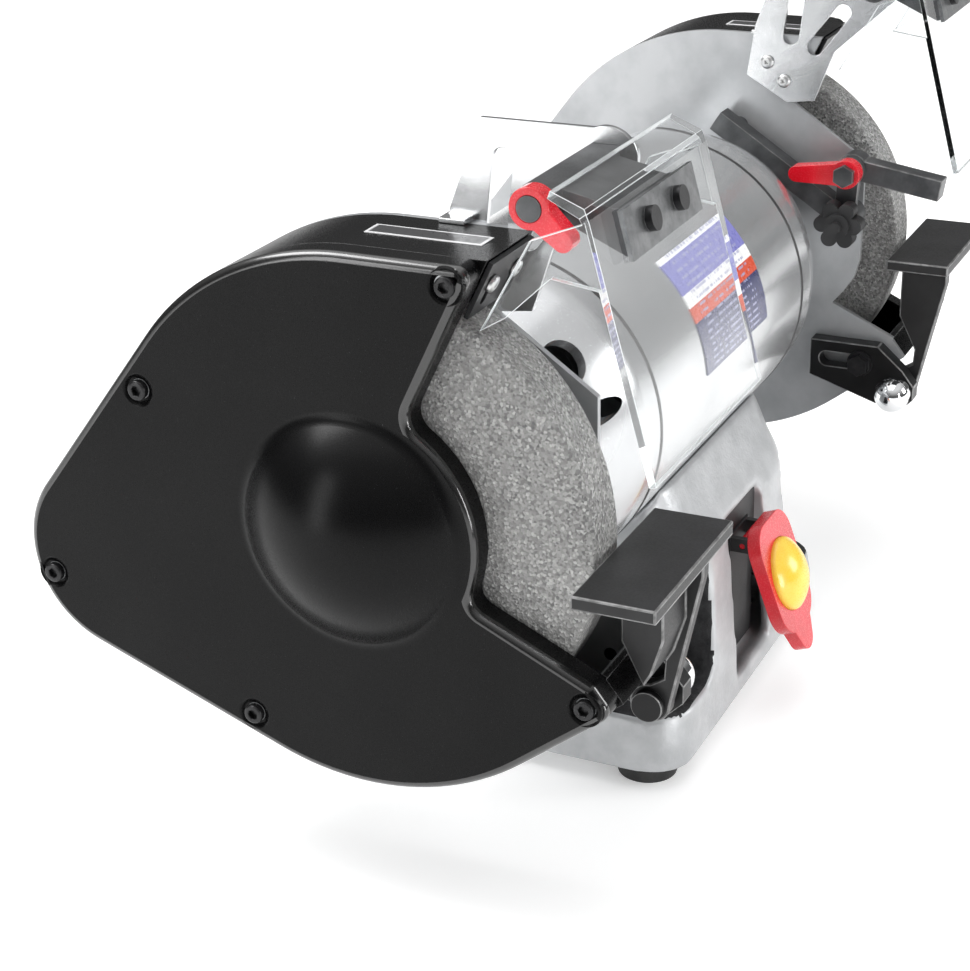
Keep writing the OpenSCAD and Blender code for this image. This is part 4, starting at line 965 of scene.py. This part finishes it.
# The front of the sheet leans back, here as the cosine and sine of its lean. The clamp lies on
# it, and its faces further out than clamp_face, near the places of its two bolts, are bolt heads.
lean_cos, lean_sin = 0.9645, 0.264
roof_from = spindle_z + 0.1525
clamp_y, clamp_z, clamp_face = -0.1189, 0.1414, 0.00515
clamp_bolts, clamp_bolt_r = (0.242, 0.213), 0.0056
for side in ("left", "right"):
    softened(side + "_shield_post", bright_steel, 0.0004)
    softened(side + "_shield_rod", grey_steel, 0.0006, rubbed=rubbed_paint)
    sheet = softened(side + "_eye_shield", acrylic, 0.0004)
    sheet.data.materials.append(sheet_edge)
    for face in sheet.data.polygons:
        n = face.normal
        wing = abs(n.x) > 0.99
        front = abs(n.x) < 0.02 and abs(n.y * lean_cos - n.z * lean_sin) > 0.97
        roof = abs(n.x) < 0.02 and face.center[2] > roof_from and abs(n.z) > 0.8
        if not (wing or front or roof):
            face.material_index = 1
    clamp = softened(side + "_shield_clamp", clamp_steel, 0.0004)
    clamp.data.materials.append(black_steel)
    for face in clamp.data.polygons:
        u, y, z = abs(face.center[0]), face.center[1], face.center[2] - spindle_z
        out = -lean_cos * (y - clamp_y) + lean_sin * (z - clamp_z)
        if min(abs(u - at) for at in clamp_bolts) < clamp_bolt_r and out > clamp_face:
            face.material_index = 1
    softened(side + "_shield_lever", red_nylon, 0.0012, 3)


# ---- Tool rests ----
# Each table is a black painted casting with a machined top, on a stud through its leg. The
# bracket slides on one bolt, and a chromed domed nut locks the table's angle.

table_paint = paint("black table paint", (0.014, 0.014, 0.0145), (0.022, 0.022, 0.023), 0.0, 0.42,
                    0.02, 0.0009, 0.00007, shine=0.3)
bracket_paint = paint("black bracket paint", (0.004, 0.004, 0.0045), (0.008, 0.008, 0.0085), 0.0, 0.36,
                      0.02, 0.0006, 0.00006, shine=0.25)
chrome = paint("chrome plate", (0.74, 0.75, 0.76), (0.82, 0.83, 0.84), 1.0, 0.075, 0.02, 0.0008,
               0.000008)
for side in ("left", "right"):
    softened(side + "_rest_table", table_paint, 0.0009, 3, rubbed=rubbed_paint)
    softened(side + "_rest_bracket", bracket_paint, 0.0007, rubbed=rubbed_paint)
    softened(side + "_rest_knob", chrome, 0.0005, 3)
softened("rest_bolts", black_steel, 0.0005)


# ---- Jointed arm ----
# Two square steel bars, coated grey, meet at an elbow bolt beside the right-hand guard. A star
# knob of black moulding clamps one and a red lever the other.

softened("side_arm_rear_bar", grey_steel, 0.0008, rubbed=rubbed_paint)
softened("side_arm_front_bar", grey_steel, 0.0008, rubbed=rubbed_paint)
softened("side_arm_knob", black_plastic, 0.0011, 3)
softened("side_arm_lever", red_nylon, 0.0012, 3)


# ---- Floor, light and camera ----
# A plain white floor under soft studio light: a broad lamp overhead, a small key behind, one
# lamp in front, and two strips at the left that draw the edges of the black guard.

bm = bmesh.new()
bmesh.ops.create_grid(bm, x_segments=2, y_segments=2, size=9)
floor_white, tree, shader, place = new_finish("white floor")
faint = spread(tree, noise_at(tree, place, 0.5), "Fac", (0.3, 0.7), (0, 1))
white = blend_colours(tree, (0.93, 0.93, 0.93), (0.95, 0.95, 0.95), faint)
tree.links.new(white.outputs[2], shader.inputs["Base Color"])
shader.inputs["Roughness"].default_value = 0.9
shader.inputs["Specular IOR Level"].default_value = 0.1
shader.inputs["Emission Color"].default_value = (1, 1, 1, 1)
shader.inputs["Emission Strength"].default_value = 0.3
floor = piece_of(bm, "floor", floor_white)

world = bpy.data.worlds.new("studio")
bpy.context.scene.world = world
world.use_nodes = True
sky = world.node_tree.nodes["Background"]
sky.inputs["Strength"].default_value = 0.8
round_about = world.node_tree.nodes.new("ShaderNodeTexCoord")
heights = world.node_tree.nodes.new("ShaderNodeSeparateXYZ")
link(world.node_tree, round_about, "Generated", heights, "Vector")
room = world.node_tree.nodes.new("ShaderNodeValToRGB")
for element, (at, grey) in zip(room.color_ramp.elements, ((0.0, 0.10), (0.75, 1.0))):
    element.position = at
    element.color = (grey, grey, grey, 1)
room.color_ramp.elements.new(0.22).color = (0.16, 0.16, 0.16, 1)
link(world.node_tree, heights, "Z", room, "Fac")
link(world.node_tree, room, "Color", sky, "Color")


def soft_lamp(name, at, aim, size, power, tall=None):
    """An area lamp aimed at a point, square unless tall is given."""
    lamp = bpy.data.lights.new(name, "AREA")
    lamp.shape = "RECTANGLE"
    lamp.size = size
    lamp.size_y = tall or size
    lamp.energy = power
    obj = put_in_scene(name, lamp)
    obj.location = at
    obj.rotation_euler = (Vector(aim) - Vector(at)).to_track_quat("-Z", "Y").to_euler()


soft_lamp("overhead", (0, 0.8, 3.0), (0, 0, 0), 4.5, 60)
soft_lamp("key", (-0.35, 0.75, 1.25), (-0.15, 0, 0.2), 0.6, 11)
soft_lamp("front", (0.9, -1.7, 0.75), (0, 0, 0.15), 0.7, 12)
soft_lamp("front strip", (-0.5, -1.6, 0.32), (-0.25, 0, 0.2), 0.16, 9, 0.9)
soft_lamp("left edge", (-1.5, 0.75, 0.55), (-0.2, 0, 0.2), 0.3, 5, 1.0)

view = bpy.context.scene.view_settings
view.view_transform = "Standard"
view.look = "None"
lens = bpy.data.cameras.new("camera")
lens.lens = 77.59
lens.sensor_width = 36
lens.sensor_fit = "AUTO"
lens.clip_start = 0.05
lens.clip_end = 60
camera = put_in_scene("camera", lens)
camera_at = (-0.93077, -0.38495, 0.5436)
right, up = (0.42398, -0.90546, -0.01965), (0.37071, 0.15370, 0.91594)
back = (-0.82633, -0.39562, 0.40083)
turn = Matrix((right, up, back)).transposed().to_4x4()
camera.matrix_world = Matrix.Translation(camera_at) @ turn
bpy.context.scene.camera = camera
